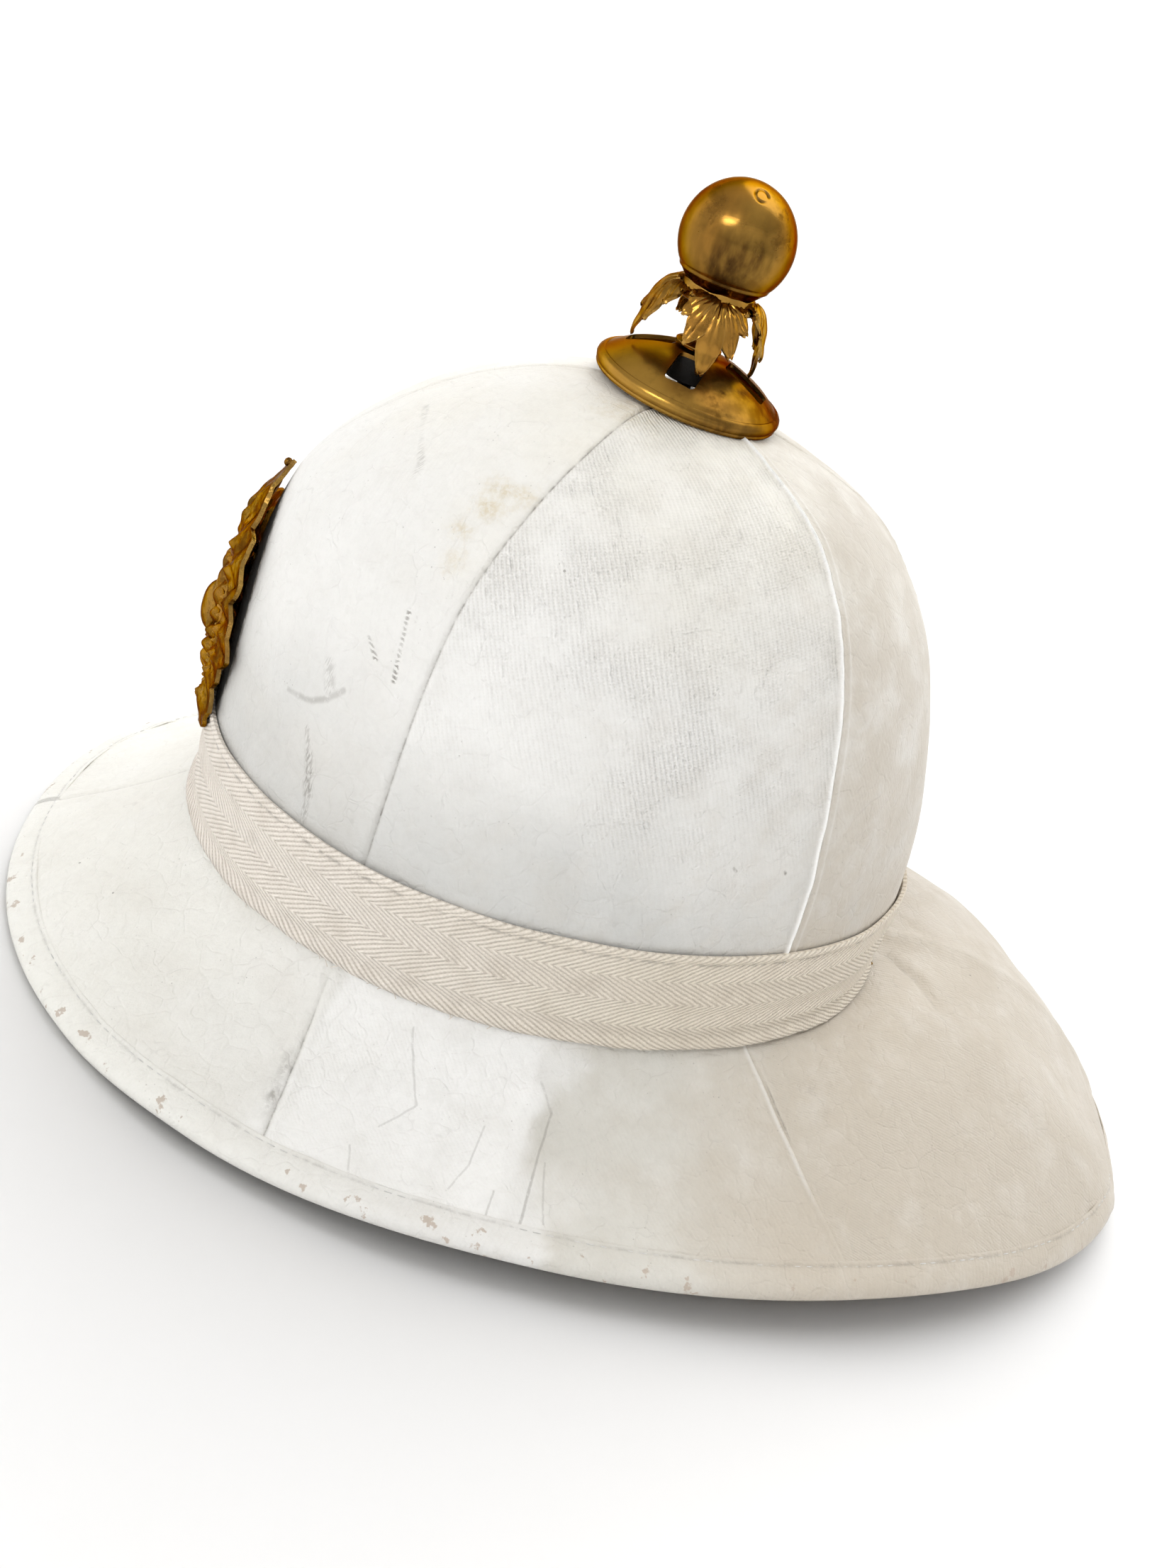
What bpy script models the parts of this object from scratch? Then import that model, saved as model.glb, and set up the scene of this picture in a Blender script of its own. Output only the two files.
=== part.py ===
"""White cloth-covered sun helmet with a brass ball finial, at its real size.

Metres, +Z up. The helmet rests on its rim on z = 0, its front towards -Y and
the wearer's left side towards +X. The origin is below the middle of its length.
"""
from collections import namedtuple
import math

import bmesh
import bpy
from mathutils import Matrix, Vector

# Clearance between pieces that touch, and the thickness of each sheet
GAP = 0.0003
CLOTH = 0.0010
TAPE = 0.0012
CROWN_PITH = 0.0037
BRIM_PITH = 0.0030
RIM_PITH = 0.0024

# Upright axis of the crown and the finial
AXIS_Y = -0.040

# Seams, in degrees from the front towards the wearer's left
SEAM_AZIMUTHS = (0, 62, 126, 180, 234, 298)
COLUMNS_PER_PANEL = 7

# Rings of the crown's cloth from the vent hole down to just above the crease:
# height at the axis, fall towards the front, reach to the front, rear and side
CrownRing = namedtuple("CrownRing", "height slope front rear side")
CROWN_RINGS = (
    CrownRing(0.1860, 0.0000, 0.0140, 0.0140, 0.0140),
    CrownRing(0.1853, 0.0000, 0.0280, 0.0285, 0.0275),
    CrownRing(0.1810, 0.0000, 0.0420, 0.0450, 0.0415),
    CrownRing(0.1740, 0.0000, 0.0560, 0.0625, 0.0540),
    CrownRing(0.1638, 0.0000, 0.0700, 0.0760, 0.0655),
    CrownRing(0.1514, 0.0020, 0.0830, 0.0870, 0.0750),
    CrownRing(0.1368, 0.0050, 0.0925, 0.0955, 0.0820),
    CrownRing(0.1154, 0.0120, 0.0978, 0.1043, 0.0880),
    CrownRing(0.0934, 0.0250, 0.0992, 0.1110, 0.0910),
    CrownRing(0.0704, 0.0456, 0.0995, 0.1150, 0.0918),
    CrownRing(0.0544, 0.0456, 0.0995, 0.1160, 0.0920),
    CrownRing(0.0401, 0.0456, 0.0985, 0.1160, 0.0918),
)
CREASE = CrownRing(0.0386, 0.0456, 0.0985, 0.1160, 0.0919)
BAND_TOP_RING = 9
PITH_WALL_RING = 7

# Rim in plan: half ovals to the front and rear of its widest line
RIM_WIDEST_Y = -0.0207
RIM_FRONT = 0.1653
RIM_REAR = 0.2067
RIM_SIDE = 0.1404
RIM_ROUNDNESS = 2.15

# Height of the rim's top edge round the helmet, in degrees from the front
RimHeight = namedtuple("RimHeight", "azimuth height")
RIM_HEIGHTS = (
    RimHeight(0, 0.0028),
    RimHeight(24, 0.0030),
    RimHeight(42, 0.0040),
    RimHeight(60, 0.0066),
    RimHeight(90, 0.0110),
    RimHeight(120, 0.0141),
    RimHeight(150, 0.0093),
    RimHeight(168, 0.0016),
    RimHeight(180, 0.0015),
)

# Bulge of the brim's slope above its chord, hollow at the sides
BULGE_FRONT = -0.001
BULGE_SIDE = -0.010
BULGE_REAR = 0.0175

# Turn of the brim's lines of slope from the crown's, in degrees
BRIM_SPREAD = 9.5
BRIM_SWEEP = -4.5

# Widths along the brim's slope
CREASE_MARGIN = 0.0015
BINDING_WIDTH = 0.0095
PITH_EDGE = 0.0020
BRIM_SHARES = (0.33, 0.67)
BINDING_RAISE = 0.0002
BINDING_TURN_IN = 0.25
BINDING_DEPTH = CLOTH + GAP + RIM_PITH + GAP + CLOTH

# Brass finial, in its own upright frame from the foot of its dome. It leans to the
# wearer's left, its dome a little back and its stem, off centre in the hub, forward
FINIAL_SEAT = (-0.0005, AXIS_Y, 0.1879)
FINIAL_LEAN = 4.0
DOME_LEAN_BACK = 1.8
STEM_LEAN_FORWARD = 0.9
STEM_OFFSET_FORWARD = 0.0018
DOME_HEIGHT = 0.0122
HUB_HEIGHT = 0.0112
DOME_SEGMENTS = 32

# The dome from its hub down over the rolled rim, its first rows lined by a sheet's thickness
DomeRow = namedtuple("DomeRow", "radius height")
DOME_ROWS = (
    DomeRow(0.0042, DOME_HEIGHT),
    DomeRow(0.0100, 0.0112),
    DomeRow(0.0160, 0.0091),
    DomeRow(0.0205, 0.0071),
    DomeRow(0.0244, 0.0045),
    DomeRow(0.0257, 0.0038),
    DomeRow(0.0265, 0.0022),
    DomeRow(0.0258, 0.0000),
    DomeRow(0.0242, 0.0000),
    DomeRow(0.0236, 0.0034),
)
DOME_LINED = 4

BRASS_SHEET = 0.0009
SLOT_COUNT = 4
SLOT_AZIMUTH = -17.0
SLOT_WIDTH = 0.0086
SLOT_INNER = 0.0075
SLOT_OUTER = 0.0202
SLOT_CUT_TOP = 0.0200
SLOT_CUT_FOOT = 0.0010

BALL_RADIUS = 0.0153
BALL_HEIGHT = 0.0401
BALL_WALL = 0.0010
BALL_SEGMENTS = 24
BALL_STEPS = 12
COLLAR_RADIUS = 0.0098
COLLAR_FOOT = 0.0240
COLLAR_TOP = 0.0276
COLLAR_WALL = 0.0012
COLLAR_BEVEL = 0.0006
STEM_FOOT_RADIUS = 0.0064
STEM_FOOT_EDGE = 0.0016
STEM_FOOT_TOP = 0.0024
STEM_TOP = 0.0225
STEM_RADIUS = 0.0034
CUP_BOWL_RADIUS = 0.0070
CUP_SEGMENTS = 20
SCREW_RADIUS = 0.0020
SCREW_INTO_BALL = 0.0040
NUT_RADIUS = 0.0190
NUT_THICKNESS = 0.0020
NUT_CLEARANCE = 0.0051

# Leaves under the ball, from the collar down: reach from the axis, height, half-width
# and whether the edge is notched there
LeafRow = namedtuple("LeafRow", "reach height half_width notch")
LEAF_ROWS = (
    LeafRow(0.0088, 0.0264, 0.0042, 0.0),
    LeafRow(0.0113, 0.0252, 0.0058, 0.0),
    LeafRow(0.0131, 0.0231, 0.0068, 1.0),
    LeafRow(0.0144, 0.0204, 0.0058, 0.0),
    LeafRow(0.0153, 0.0178, 0.0066, 1.0),
    LeafRow(0.0157, 0.0150, 0.0044, 0.0),
    LeafRow(0.0158, 0.0124, 0.0034, 0.0),
    LeafRow(0.0154, 0.0100, 0.0008, 0.0),
)
# How far each leaf's lower half is bent inwards, from the wearer's left round to the back
LEAF_BENDS = (0.0003, 0.0022, 0.0008, 0.0)
LEAF_ACROSS = 4
LEAF_THICKNESS = 0.0010
LEAF_KEEL = 0.0010
LEAF_NOTCH_DROP = 0.0016
LEAF_KEEL_ROWS = 3
LEAF_BEND_ROWS = 4

# Front plate: a rayed star with a raised ring, a plain boss and a small knob on top
PLATE_CENTRE_Z = 0.0870
PLATE_REACH_UP = 0.0490
PLATE_REACH_DOWN = 0.0400
PLATE_HALF_WIDTH = 0.0340
PLATE_BEND_ACROSS = 0.090
PLATE_THICKNESS = 0.0012
PLATE_RAYS = 20
PLATE_LONG_RAYS = 8
PLATE_POINT_DROP = 0.22
PLATE_VALLEY = 0.86
PLATE_LUG_RADIUS = 0.0020
PLATE_LUG_HEIGHTS = (0.078, 0.108)
PLATE_LUG_SIDES = 10
PLATE_KNOB_RADIUS = 0.0018
PLATE_KNOB_SHARE = 0.89

# Back of the plate along its upright middle line
PlateLine = namedtuple("PlateLine", "z y")
PLATE_LINE = (
    PlateLine(0.0380, -0.1406),
    PlateLine(0.0600, -0.1415),
    PlateLine(0.0780, -0.1422),
    PlateLine(0.0960, -0.1424),
    PlateLine(0.1120, -0.1424),
    PlateLine(0.1260, -0.1386),
    PlateLine(0.1420, -0.1313),
)

# Relief of the plate by the share of the way out from its centre
PlateRing = namedtuple("PlateRing", "share relief")
PLATE_RINGS = (
    PlateRing(0.00, 0.0042),
    PlateRing(0.15, 0.0036),
    PlateRing(0.28, 0.0016),
    PlateRing(0.38, 0.0012),
    PlateRing(0.50, 0.0030),
    PlateRing(0.60, 0.0018),
    PlateRing(0.80, 0.0018),
    PlateRing(1.00, 0.0002),
)
RAYS_FROM_SHARE = 0.6
VALLEY_RELIEF = 0.4
PLATE_BACK_RINGS = (4, 7)

# Point under the crown that the faces of every sheet are split about
SPLIT_CENTRE = Vector((0.0, AXIS_Y, -0.150))

WHITE_CLOTH = ("white_cloth", (0.80, 0.78, 0.73), 0.85, 0.0)
TAPE_CLOTH = ("tape_cloth", (0.66, 0.58, 0.47), 0.90, 0.0)
PITH = ("pith", (0.62, 0.50, 0.36), 0.90, 0.0)
BRASS = ("brass", (0.55, 0.34, 0.09), 0.32, 1.0)


def clear_scene():
    for item in list(bpy.data.objects):
        bpy.data.objects.remove(item, do_unlink=True)


def material(look):
    name, colour, roughness, metallic = look
    found = bpy.data.materials.get(name)
    if found:
        return found
    made = bpy.data.materials.new(name)
    made.use_nodes = True
    shader = made.node_tree.nodes["Principled BSDF"]
    shader.inputs["Base Color"].default_value = (*colour, 1.0)
    shader.inputs["Roughness"].default_value = roughness
    shader.inputs["Metallic"].default_value = metallic
    return made


def add_object(name, mesh_data, look, smooth_angle=40.0):
    mesh = bpy.data.meshes.new(name)
    mesh_data.to_mesh(mesh)
    mesh_data.free()
    mesh.shade_smooth()
    mesh.set_sharp_from_angle(angle=math.radians(smooth_angle))
    mesh.materials.append(material(look))
    item = bpy.data.objects.new(name, mesh)
    bpy.context.scene.collection.objects.link(item)
    return item


def add_split(mesh_data, a, b, c, d):
    """Two triangles over four corners, split so that the surface stands proud.

    Sheets that lie over each other split alike, so their gap stays even.
    """
    proud = ((a.co + c.co) / 2 - SPLIT_CENTRE).length
    if proud >= ((b.co + d.co) / 2 - SPLIT_CENTRE).length:
        mesh_data.faces.new((a, b, c))
        mesh_data.faces.new((a, c, d))
    else:
        mesh_data.faces.new((a, b, d))
        mesh_data.faces.new((b, c, d))


def loft(profiles, closed_round):
    """Closed body through profiles of equal length, each one a closed loop."""
    mesh_data = bmesh.new()
    loops = [[mesh_data.verts.new(point) for point in profile] for profile in profiles]
    stations = len(loops)
    size = len(loops[0])
    last = stations if closed_round else stations - 1
    for i in range(last):
        here = loops[i]
        there = loops[(i + 1) % stations]
        for k in range(size):
            after = (k + 1) % size
            add_split(mesh_data, here[k], here[after], there[after], there[k])
    if not closed_round:
        mesh_data.faces.new(list(reversed(loops[0])))
        mesh_data.faces.new(loops[-1])
    bmesh.ops.recalc_face_normals(mesh_data, faces=mesh_data.faces)
    return mesh_data


def slab(upper, lower):
    """Closed sheet between two open grids of points of the same size."""
    mesh_data = bmesh.new()
    rows = len(upper)
    across = len(upper[0])
    top = [[mesh_data.verts.new(point) for point in row] for row in upper]
    bottom = [[mesh_data.verts.new(point) for point in row] for row in lower]
    for i in range(rows - 1):
        for k in range(across - 1):
            for side in (top, bottom):
                add_split(mesh_data, side[i][k], side[i][k + 1], side[i + 1][k + 1], side[i + 1][k])
    edge = [(0, k) for k in range(across)]
    edge += [(i, across - 1) for i in range(1, rows)]
    edge += [(rows - 1, k) for k in range(across - 2, -1, -1)]
    edge += [(i, 0) for i in range(rows - 2, 0, -1)]
    for (i, k), (m, n) in zip(edge, edge[1:] + edge[:1]):
        mesh_data.faces.new((top[i][k], bottom[i][k], bottom[m][n], top[m][n]))
    bmesh.ops.recalc_face_normals(mesh_data, faces=mesh_data.faces)
    return mesh_data


def turned(profile, segments):
    """Body turned about Z from a closed profile of (radius, height)."""
    stations = []
    for i in range(segments):
        turn = math.tau * i / segments
        stations.append([(r * math.cos(turn), r * math.sin(turn), z) for r, z in profile])
    return loft(stations, closed_round=True)


def turned_solid(profile, segments):
    """Solid turned about Z from an open profile whose ends lie on the axis."""
    mesh_data = bmesh.new()
    first = mesh_data.verts.new((0.0, 0.0, profile[0][1]))
    last = mesh_data.verts.new((0.0, 0.0, profile[-1][1]))
    rings = []
    for r, z in profile[1:-1]:
        ring = []
        for i in range(segments):
            turn = math.tau * i / segments
            ring.append(mesh_data.verts.new((r * math.cos(turn), r * math.sin(turn), z)))
        rings.append(ring)
    for i in range(segments):
        j = (i + 1) % segments
        mesh_data.faces.new((first, rings[0][j], rings[0][i]))
        mesh_data.faces.new((last, rings[-1][i], rings[-1][j]))
        for low, high in zip(rings, rings[1:]):
            mesh_data.faces.new((low[i], low[j], high[j], high[i]))
    bmesh.ops.recalc_face_normals(mesh_data, faces=mesh_data.faces)
    return mesh_data


def columns():
    """Azimuth of each column of the cloth, the seams among them."""
    found = []
    for i, start in enumerate(SEAM_AZIMUTHS):
        end = SEAM_AZIMUTHS[i + 1] if i + 1 < len(SEAM_AZIMUTHS) else 360
        for k in range(COLUMNS_PER_PANEL):
            found.append(math.radians(start + (end - start) * k / COLUMNS_PER_PANEL))
    return found


def crown_ring_point(ring, azimuth):
    forward = math.cos(azimuth)
    reach = ring.front if forward > 0 else ring.rear
    x = ring.side * math.sin(azimuth)
    y = AXIS_Y - reach * forward
    return Vector((x, y, ring.height + ring.slope * (y - AXIS_Y)))


def rim_height(azimuth):
    degrees = math.degrees(math.acos(max(-1.0, min(1.0, math.cos(azimuth)))))
    for low, high in zip(RIM_HEIGHTS, RIM_HEIGHTS[1:]):
        if degrees <= high.azimuth:
            share = (degrees - low.azimuth) / (high.azimuth - low.azimuth)
            ease = share * share * (3 - 2 * share)
            return low.height + (high.height - low.height) * ease
    return RIM_HEIGHTS[-1].height


def rim_point(azimuth):
    swept = azimuth + math.radians(BRIM_SPREAD * math.sin(2 * azimuth) + BRIM_SWEEP * math.sin(azimuth))
    forward = math.cos(swept)
    sideways = math.sin(swept)
    power = 2 / RIM_ROUNDNESS
    length = RIM_FRONT if forward > 0 else RIM_REAR
    x = RIM_SIDE * math.copysign(abs(sideways) ** power, sideways)
    y = RIM_WIDEST_Y - length * math.copysign(abs(forward) ** power, forward)
    return Vector((x, y, rim_height(swept)))


class BrimLine:
    """One line of slope of the brim, from the crease to the rim."""

    SAMPLES = 32

    def __init__(self, azimuth):
        crease = crown_ring_point(CREASE, azimuth)
        rim = rim_point(azimuth)
        forward = math.cos(azimuth)
        frontness = max(forward, 0.0) ** 2
        rearness = max(-forward, 0.0) ** 2
        bulge = BULGE_FRONT * frontness + BULGE_REAR * rearness
        bulge += BULGE_SIDE * (1 - frontness - rearness)
        chord = (rim - crease).normalized()
        across = chord.cross(Vector((0, 0, 1)))
        upward = across.cross(chord).normalized()
        control = (crease + rim) / 2 + upward * bulge * 2
        self.points = []
        for i in range(self.SAMPLES + 1):
            t = i / self.SAMPLES
            self.points.append((1 - t) ** 2 * crease + 2 * t * (1 - t) * control + t * t * rim)
        self.distances = [0.0]
        for before, after in zip(self.points, self.points[1:]):
            self.distances.append(self.distances[-1] + (after - before).length)
        self.length = self.distances[-1]

    def at(self, distance):
        for i in range(1, len(self.points)):
            if distance <= self.distances[i] or i == len(self.points) - 1:
                step = self.distances[i] - self.distances[i - 1]
                share = (distance - self.distances[i - 1]) / step
                return self.points[i - 1].lerp(self.points[i], share)


def cloth_rings():
    """Rings of the outer cloth surface from the vent hole to the rim."""
    turns = columns()
    rings = [[crown_ring_point(ring, turn) for turn in turns] for ring in CROWN_RINGS]
    rings.append([crown_ring_point(CREASE, turn) for turn in turns])
    lines = [BrimLine(turn) for turn in turns]
    rings.append([line.at(CREASE_MARGIN) for line in lines])
    for share in BRIM_SHARES:
        rings.append([line.at(share * (line.length - BINDING_WIDTH)) for line in lines])
    for from_rim in (BINDING_WIDTH, PITH_EDGE, 0.0):
        rings.append([line.at(line.length - from_rim) for line in lines])
    return rings


RINGS = cloth_rings()
COLUMN_COUNT = len(RINGS[0])
CROWN_END = len(CROWN_RINGS) - 1
CREASE_RING = CROWN_END + 1
BRIM_START = CROWN_END + 2
BINDING_RING = len(RINGS) - 3
EDGE_RING = len(RINGS) - 2
RIM_RING = len(RINGS) - 1


def sunk(ring, column, depth):
    """A point below the cloth surface, at an even depth on both sides of a bend."""
    here = RINGS[ring][column]
    along = RINGS[ring][(column + 1) % COLUMN_COUNT] - RINGS[ring][column - 1]
    normals = []
    if ring > 0:
        normals.append((here - RINGS[ring - 1][column]).cross(along).normalized())
    if ring < RIM_RING:
        normals.append((RINGS[ring + 1][column] - here).cross(along).normalized())
    mean = sum(normals, Vector()).normalized()
    return here - mean * (depth / mean.dot(normals[0]))


def sheet_panel(first_ring, last_ring, panel, end_trim):
    """Upper and lower grids of one cloth panel between two seams."""
    start = panel * COLUMNS_PER_PANEL
    grids = []
    for depth in (0.0, CLOTH):
        grid = []
        for ring in range(first_ring, last_ring + 1):
            row = []
            for k in range(COLUMNS_PER_PANEL + 1):
                row.append(sunk(ring, (start + k) % COLUMN_COUNT, depth))
            row[0] = stepped(row[0], row[1], GAP / 2)
            row[-1] = stepped(row[-1], row[-2], GAP / 2)
            grid.append(row)
        grid[-1] = [stepped(low, high, end_trim) for low, high in zip(grid[-1], grid[-2])]
        grids.append(grid)
    return grids


def stepped(point, target, distance):
    return point + (target - point).normalized() * distance


def pith_thickness(ring):
    if ring <= CREASE_RING:
        return CROWN_PITH
    return RIM_PITH if ring >= BINDING_RING else BRIM_PITH


def pith_body(name, first_ring, last_ring, start_trim):
    """Ring of pressed pith between two rings of the cloth, under it."""
    stations = []
    outer_depth = CLOTH + GAP
    for column in range(COLUMN_COUNT):
        sides = []
        for lined in (0.0, 1.0):
            side = []
            for ring in range(first_ring, last_ring + 1):
                side.append(sunk(ring, column, outer_depth + lined * pith_thickness(ring)))
            side[0] = stepped(side[0], side[1], start_trim)
            sides.append(side)
        stations.append(sides[0] + list(reversed(sides[1])))
    return add_object(name, loft(stations, closed_round=True), PITH)


def build_pith():
    """The pith of the crown's dome, of its wall down to the crease, and of the brim."""
    pith_body("pith_dome", 0, PITH_WALL_RING, 0.0)
    pith_body("pith_wall", PITH_WALL_RING, CREASE_RING, GAP)
    pith_body("pith_brim", CREASE_RING, EDGE_RING, GAP)


def build_panels():
    for panel in range(len(SEAM_AZIMUTHS)):
        upper, lower = sheet_panel(0, CROWN_END, panel, 0.0)
        add_object(f"crown_panel_{panel + 1}", slab(upper, lower), WHITE_CLOTH)
        upper, lower = sheet_panel(BRIM_START, BINDING_RING, panel, GAP)
        add_object(f"brim_panel_{panel + 1}", slab(upper, lower), WHITE_CLOTH)


def build_hat_band():
    stations = []
    rings = range(BAND_TOP_RING, CROWN_END + 1)
    for column in range(COLUMN_COUNT):
        outer = [sunk(ring, column, -GAP - TAPE) for ring in rings]
        inner = [sunk(ring, column, -GAP) for ring in rings]
        stations.append(outer + list(reversed(inner)))
    return add_object("hat_band", loft(stations, closed_round=True), TAPE_CLOTH)


def build_rim_binding():
    stations = []
    inner_top = CLOTH
    inner_foot = BINDING_DEPTH - CLOTH
    turn_in = BINDING_DEPTH * BINDING_TURN_IN
    for column in range(COLUMN_COUNT):
        def at(ring, depth, place=column):
            point = sunk(ring, place, depth)
            return Vector((point.x, point.y, max(point.z, 0.0)))
        wall = GAP / PITH_EDGE
        stations.append([
            at(BINDING_RING, -BINDING_RAISE),
            at(EDGE_RING, -BINDING_RAISE / 2),
            at(RIM_RING, CLOTH),
            at(RIM_RING, BINDING_DEPTH - turn_in),
            at(EDGE_RING, BINDING_DEPTH),
            at(BINDING_RING, BINDING_DEPTH),
            at(BINDING_RING, inner_foot),
            at(EDGE_RING, inner_foot).lerp(at(RIM_RING, inner_foot), wall),
            at(EDGE_RING, inner_top).lerp(at(RIM_RING, inner_top), wall),
            at(BINDING_RING, inner_top),
        ])
    return add_object("rim_binding", loft(stations, closed_round=True), WHITE_CLOTH)


def dome_placement():
    lean = Matrix.Rotation(math.radians(FINIAL_LEAN), 4, "Y")
    back = Matrix.Rotation(math.radians(-DOME_LEAN_BACK), 4, "X")
    return Matrix.Translation(FINIAL_SEAT) @ back @ lean


def stem_placement():
    """The stem's frame, turned and shifted at the dome's hub."""
    hub = dome_placement() @ Vector((0.0, -STEM_OFFSET_FORWARD, DOME_HEIGHT))
    lean = Matrix.Rotation(math.radians(FINIAL_LEAN), 4, "Y")
    forward = Matrix.Rotation(math.radians(STEM_LEAN_FORWARD), 4, "X")
    return Matrix.Translation(hub) @ forward @ lean @ Matrix.Translation((0.0, 0.0, -HUB_HEIGHT))


def add_cutter(name, mesh_data):
    item = add_object(name, mesh_data, BRASS)
    item.hide_render = True
    item.display_type = "WIRE"
    return item


def box(low, high):
    corners = [(low[0], low[1]), (high[0], low[1]), (high[0], high[1]), (low[0], high[1])]
    stations = [[(x, y, low[2]) for x, y in corners], [(x, y, high[2]) for x, y in corners]]
    return loft(stations, closed_round=False)


def boolean(item, cutter, operation):
    change = item.modifiers.new(operation.lower(), "BOOLEAN")
    change.operation = operation
    change.object = cutter
    change.solver = "EXACT"


def build_vent_dome(placement):
    profile = [(row.radius, row.height) for row in DOME_ROWS]
    profile += [(row.radius, row.height - BRASS_SHEET) for row in reversed(DOME_ROWS[:DOME_LINED])]
    dome = add_object("vent_dome", turned(profile, DOME_SEGMENTS), BRASS)
    dome.matrix_world = placement
    half = SLOT_WIDTH / 2
    for i in range(SLOT_COUNT):
        turn = Matrix.Rotation(math.radians(SLOT_AZIMUTH + 360 / SLOT_COUNT * i), 4, "Z")
        cutter = add_cutter(
            f"slot_cutter_{i + 1}",
            box((SLOT_INNER, -half, SLOT_CUT_FOOT), (SLOT_OUTER, half, SLOT_CUT_TOP)),
        )
        cutter.matrix_world = placement @ turn
        boolean(dome, cutter, "DIFFERENCE")
    return dome


def leaf_grids(bend):
    """Upper and lower grids of one leaf that falls from the collar towards +X."""
    upper = []
    lower = []
    for i, row in enumerate(LEAF_ROWS):
        before = LEAF_ROWS[max(i - 1, 0)]
        after = LEAF_ROWS[min(i + 1, len(LEAF_ROWS) - 1)]
        tangent = Vector((after.reach - before.reach, after.height - before.height)).normalized()
        outward = Vector((-tangent.y, tangent.x))
        high = []
        low = []
        for k in range(LEAF_ACROSS + 1):
            side = 2 * k / LEAF_ACROSS - 1
            turn = side * row.half_width / row.reach
            inwards = bend * min(i, LEAF_BEND_ROWS) / LEAF_BEND_ROWS
            keel = LEAF_KEEL * (1 - abs(side)) * min(i, LEAF_KEEL_ROWS) / LEAF_KEEL_ROWS
            drop = LEAF_NOTCH_DROP * row.notch * side * side
            for grid, lift in ((high, keel), (low, keel - LEAF_THICKNESS)):
                reach = row.reach + outward.x * lift - inwards
                height = row.height + outward.y * lift - drop
                grid.append((reach * math.cos(turn), reach * math.sin(turn), height))
        upper.append(high)
        lower.append(low)
    return upper, lower


def build_leaf_cup(placement):
    """Collar, stem and leaves, soldered into one."""
    seat = BALL_RADIUS + GAP
    collar_inner = COLLAR_RADIUS - COLLAR_WALL
    lip = BALL_HEIGHT - math.sqrt(seat ** 2 - collar_inner ** 2)
    bowl = BALL_HEIGHT - math.sqrt(seat ** 2 - CUP_BOWL_RADIUS ** 2)
    foot = HUB_HEIGHT + GAP * 2
    profile = [
        (SCREW_RADIUS + GAP, foot),
        (STEM_FOOT_RADIUS, foot),
        (STEM_FOOT_RADIUS, HUB_HEIGHT + STEM_FOOT_EDGE),
        (STEM_RADIUS, HUB_HEIGHT + STEM_FOOT_TOP),
        (STEM_RADIUS, STEM_TOP),
        (COLLAR_RADIUS - COLLAR_BEVEL, COLLAR_FOOT),
        (COLLAR_RADIUS, COLLAR_FOOT + COLLAR_BEVEL),
        (COLLAR_RADIUS, COLLAR_TOP),
        (collar_inner, min(COLLAR_TOP, lip)),
        (CUP_BOWL_RADIUS, bowl),
        (SCREW_RADIUS + GAP, BALL_HEIGHT - BALL_RADIUS - GAP * 1.5),
    ]
    cup = add_object("leaf_cup", turned(profile, CUP_SEGMENTS), BRASS)
    cup.matrix_world = placement
    for i, bend in enumerate(LEAF_BENDS):
        upper, lower = leaf_grids(bend)
        leaf = add_cutter(f"leaf_blank_{i + 1}", slab(upper, lower))
        leaf.matrix_world = placement @ Matrix.Rotation(math.tau * i / len(LEAF_BENDS), 4, "Z")
        boolean(cup, leaf, "UNION")
    return cup


def build_finial_ball(placement):
    """Hollow ball, open below where the screw enters it."""
    outer = []
    inner = []
    mouth = SCREW_RADIUS + GAP
    sides = ((BALL_RADIUS, outer, BALL_STEPS), (BALL_RADIUS - BALL_WALL, inner, BALL_STEPS // 2))
    for radius, found, count in sides:
        start = math.asin(mouth / radius)
        for i in range(count):
            polar = start + (math.pi - start) * i / (count - 1)
            found.append((radius * math.sin(polar), BALL_HEIGHT - radius * math.cos(polar)))
    mesh_data = bmesh.new()
    rings = []
    for r, z in outer[:-1] + inner[:-1]:
        ring = []
        for i in range(BALL_SEGMENTS):
            turn = math.tau * i / BALL_SEGMENTS
            ring.append(mesh_data.verts.new((r * math.cos(turn), r * math.sin(turn), z)))
        rings.append(ring)
    outside = rings[: len(outer) - 1]
    inside = rings[len(outer) - 1:]
    crown_tip = mesh_data.verts.new((0.0, 0.0, outer[-1][1]))
    hollow_tip = mesh_data.verts.new((0.0, 0.0, inner[-1][1]))
    for i in range(BALL_SEGMENTS):
        j = (i + 1) % BALL_SEGMENTS
        for low, high in zip(outside, outside[1:]):
            mesh_data.faces.new((low[i], low[j], high[j], high[i]))
        for low, high in zip(inside, inside[1:]):
            mesh_data.faces.new((low[j], low[i], high[i], high[j]))
        mesh_data.faces.new((outside[-1][i], outside[-1][j], crown_tip))
        mesh_data.faces.new((inside[-1][j], inside[-1][i], hollow_tip))
        mesh_data.faces.new((inside[0][i], inside[0][j], outside[0][j], outside[0][i]))
    ball = add_object("finial_ball", mesh_data, BRASS)
    ball.matrix_world = placement
    return ball


def build_finial_screw(placement):
    """Plain hidden screw from the ball to a round nut under the crown."""
    under_crown = -(CLOTH + GAP + CROWN_PITH + NUT_CLEARANCE)
    nut_foot = under_crown - NUT_THICKNESS
    tip = BALL_HEIGHT - BALL_RADIUS + SCREW_INTO_BALL
    profile = [
        (0.0, nut_foot),
        (NUT_RADIUS, nut_foot),
        (NUT_RADIUS, under_crown),
        (SCREW_RADIUS, under_crown),
        (SCREW_RADIUS, tip),
        (0.0, tip),
    ]
    screw = add_object("finial_screw", turned_solid(profile, CUP_SEGMENTS), BRASS)
    screw.matrix_world = placement
    return screw


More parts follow.
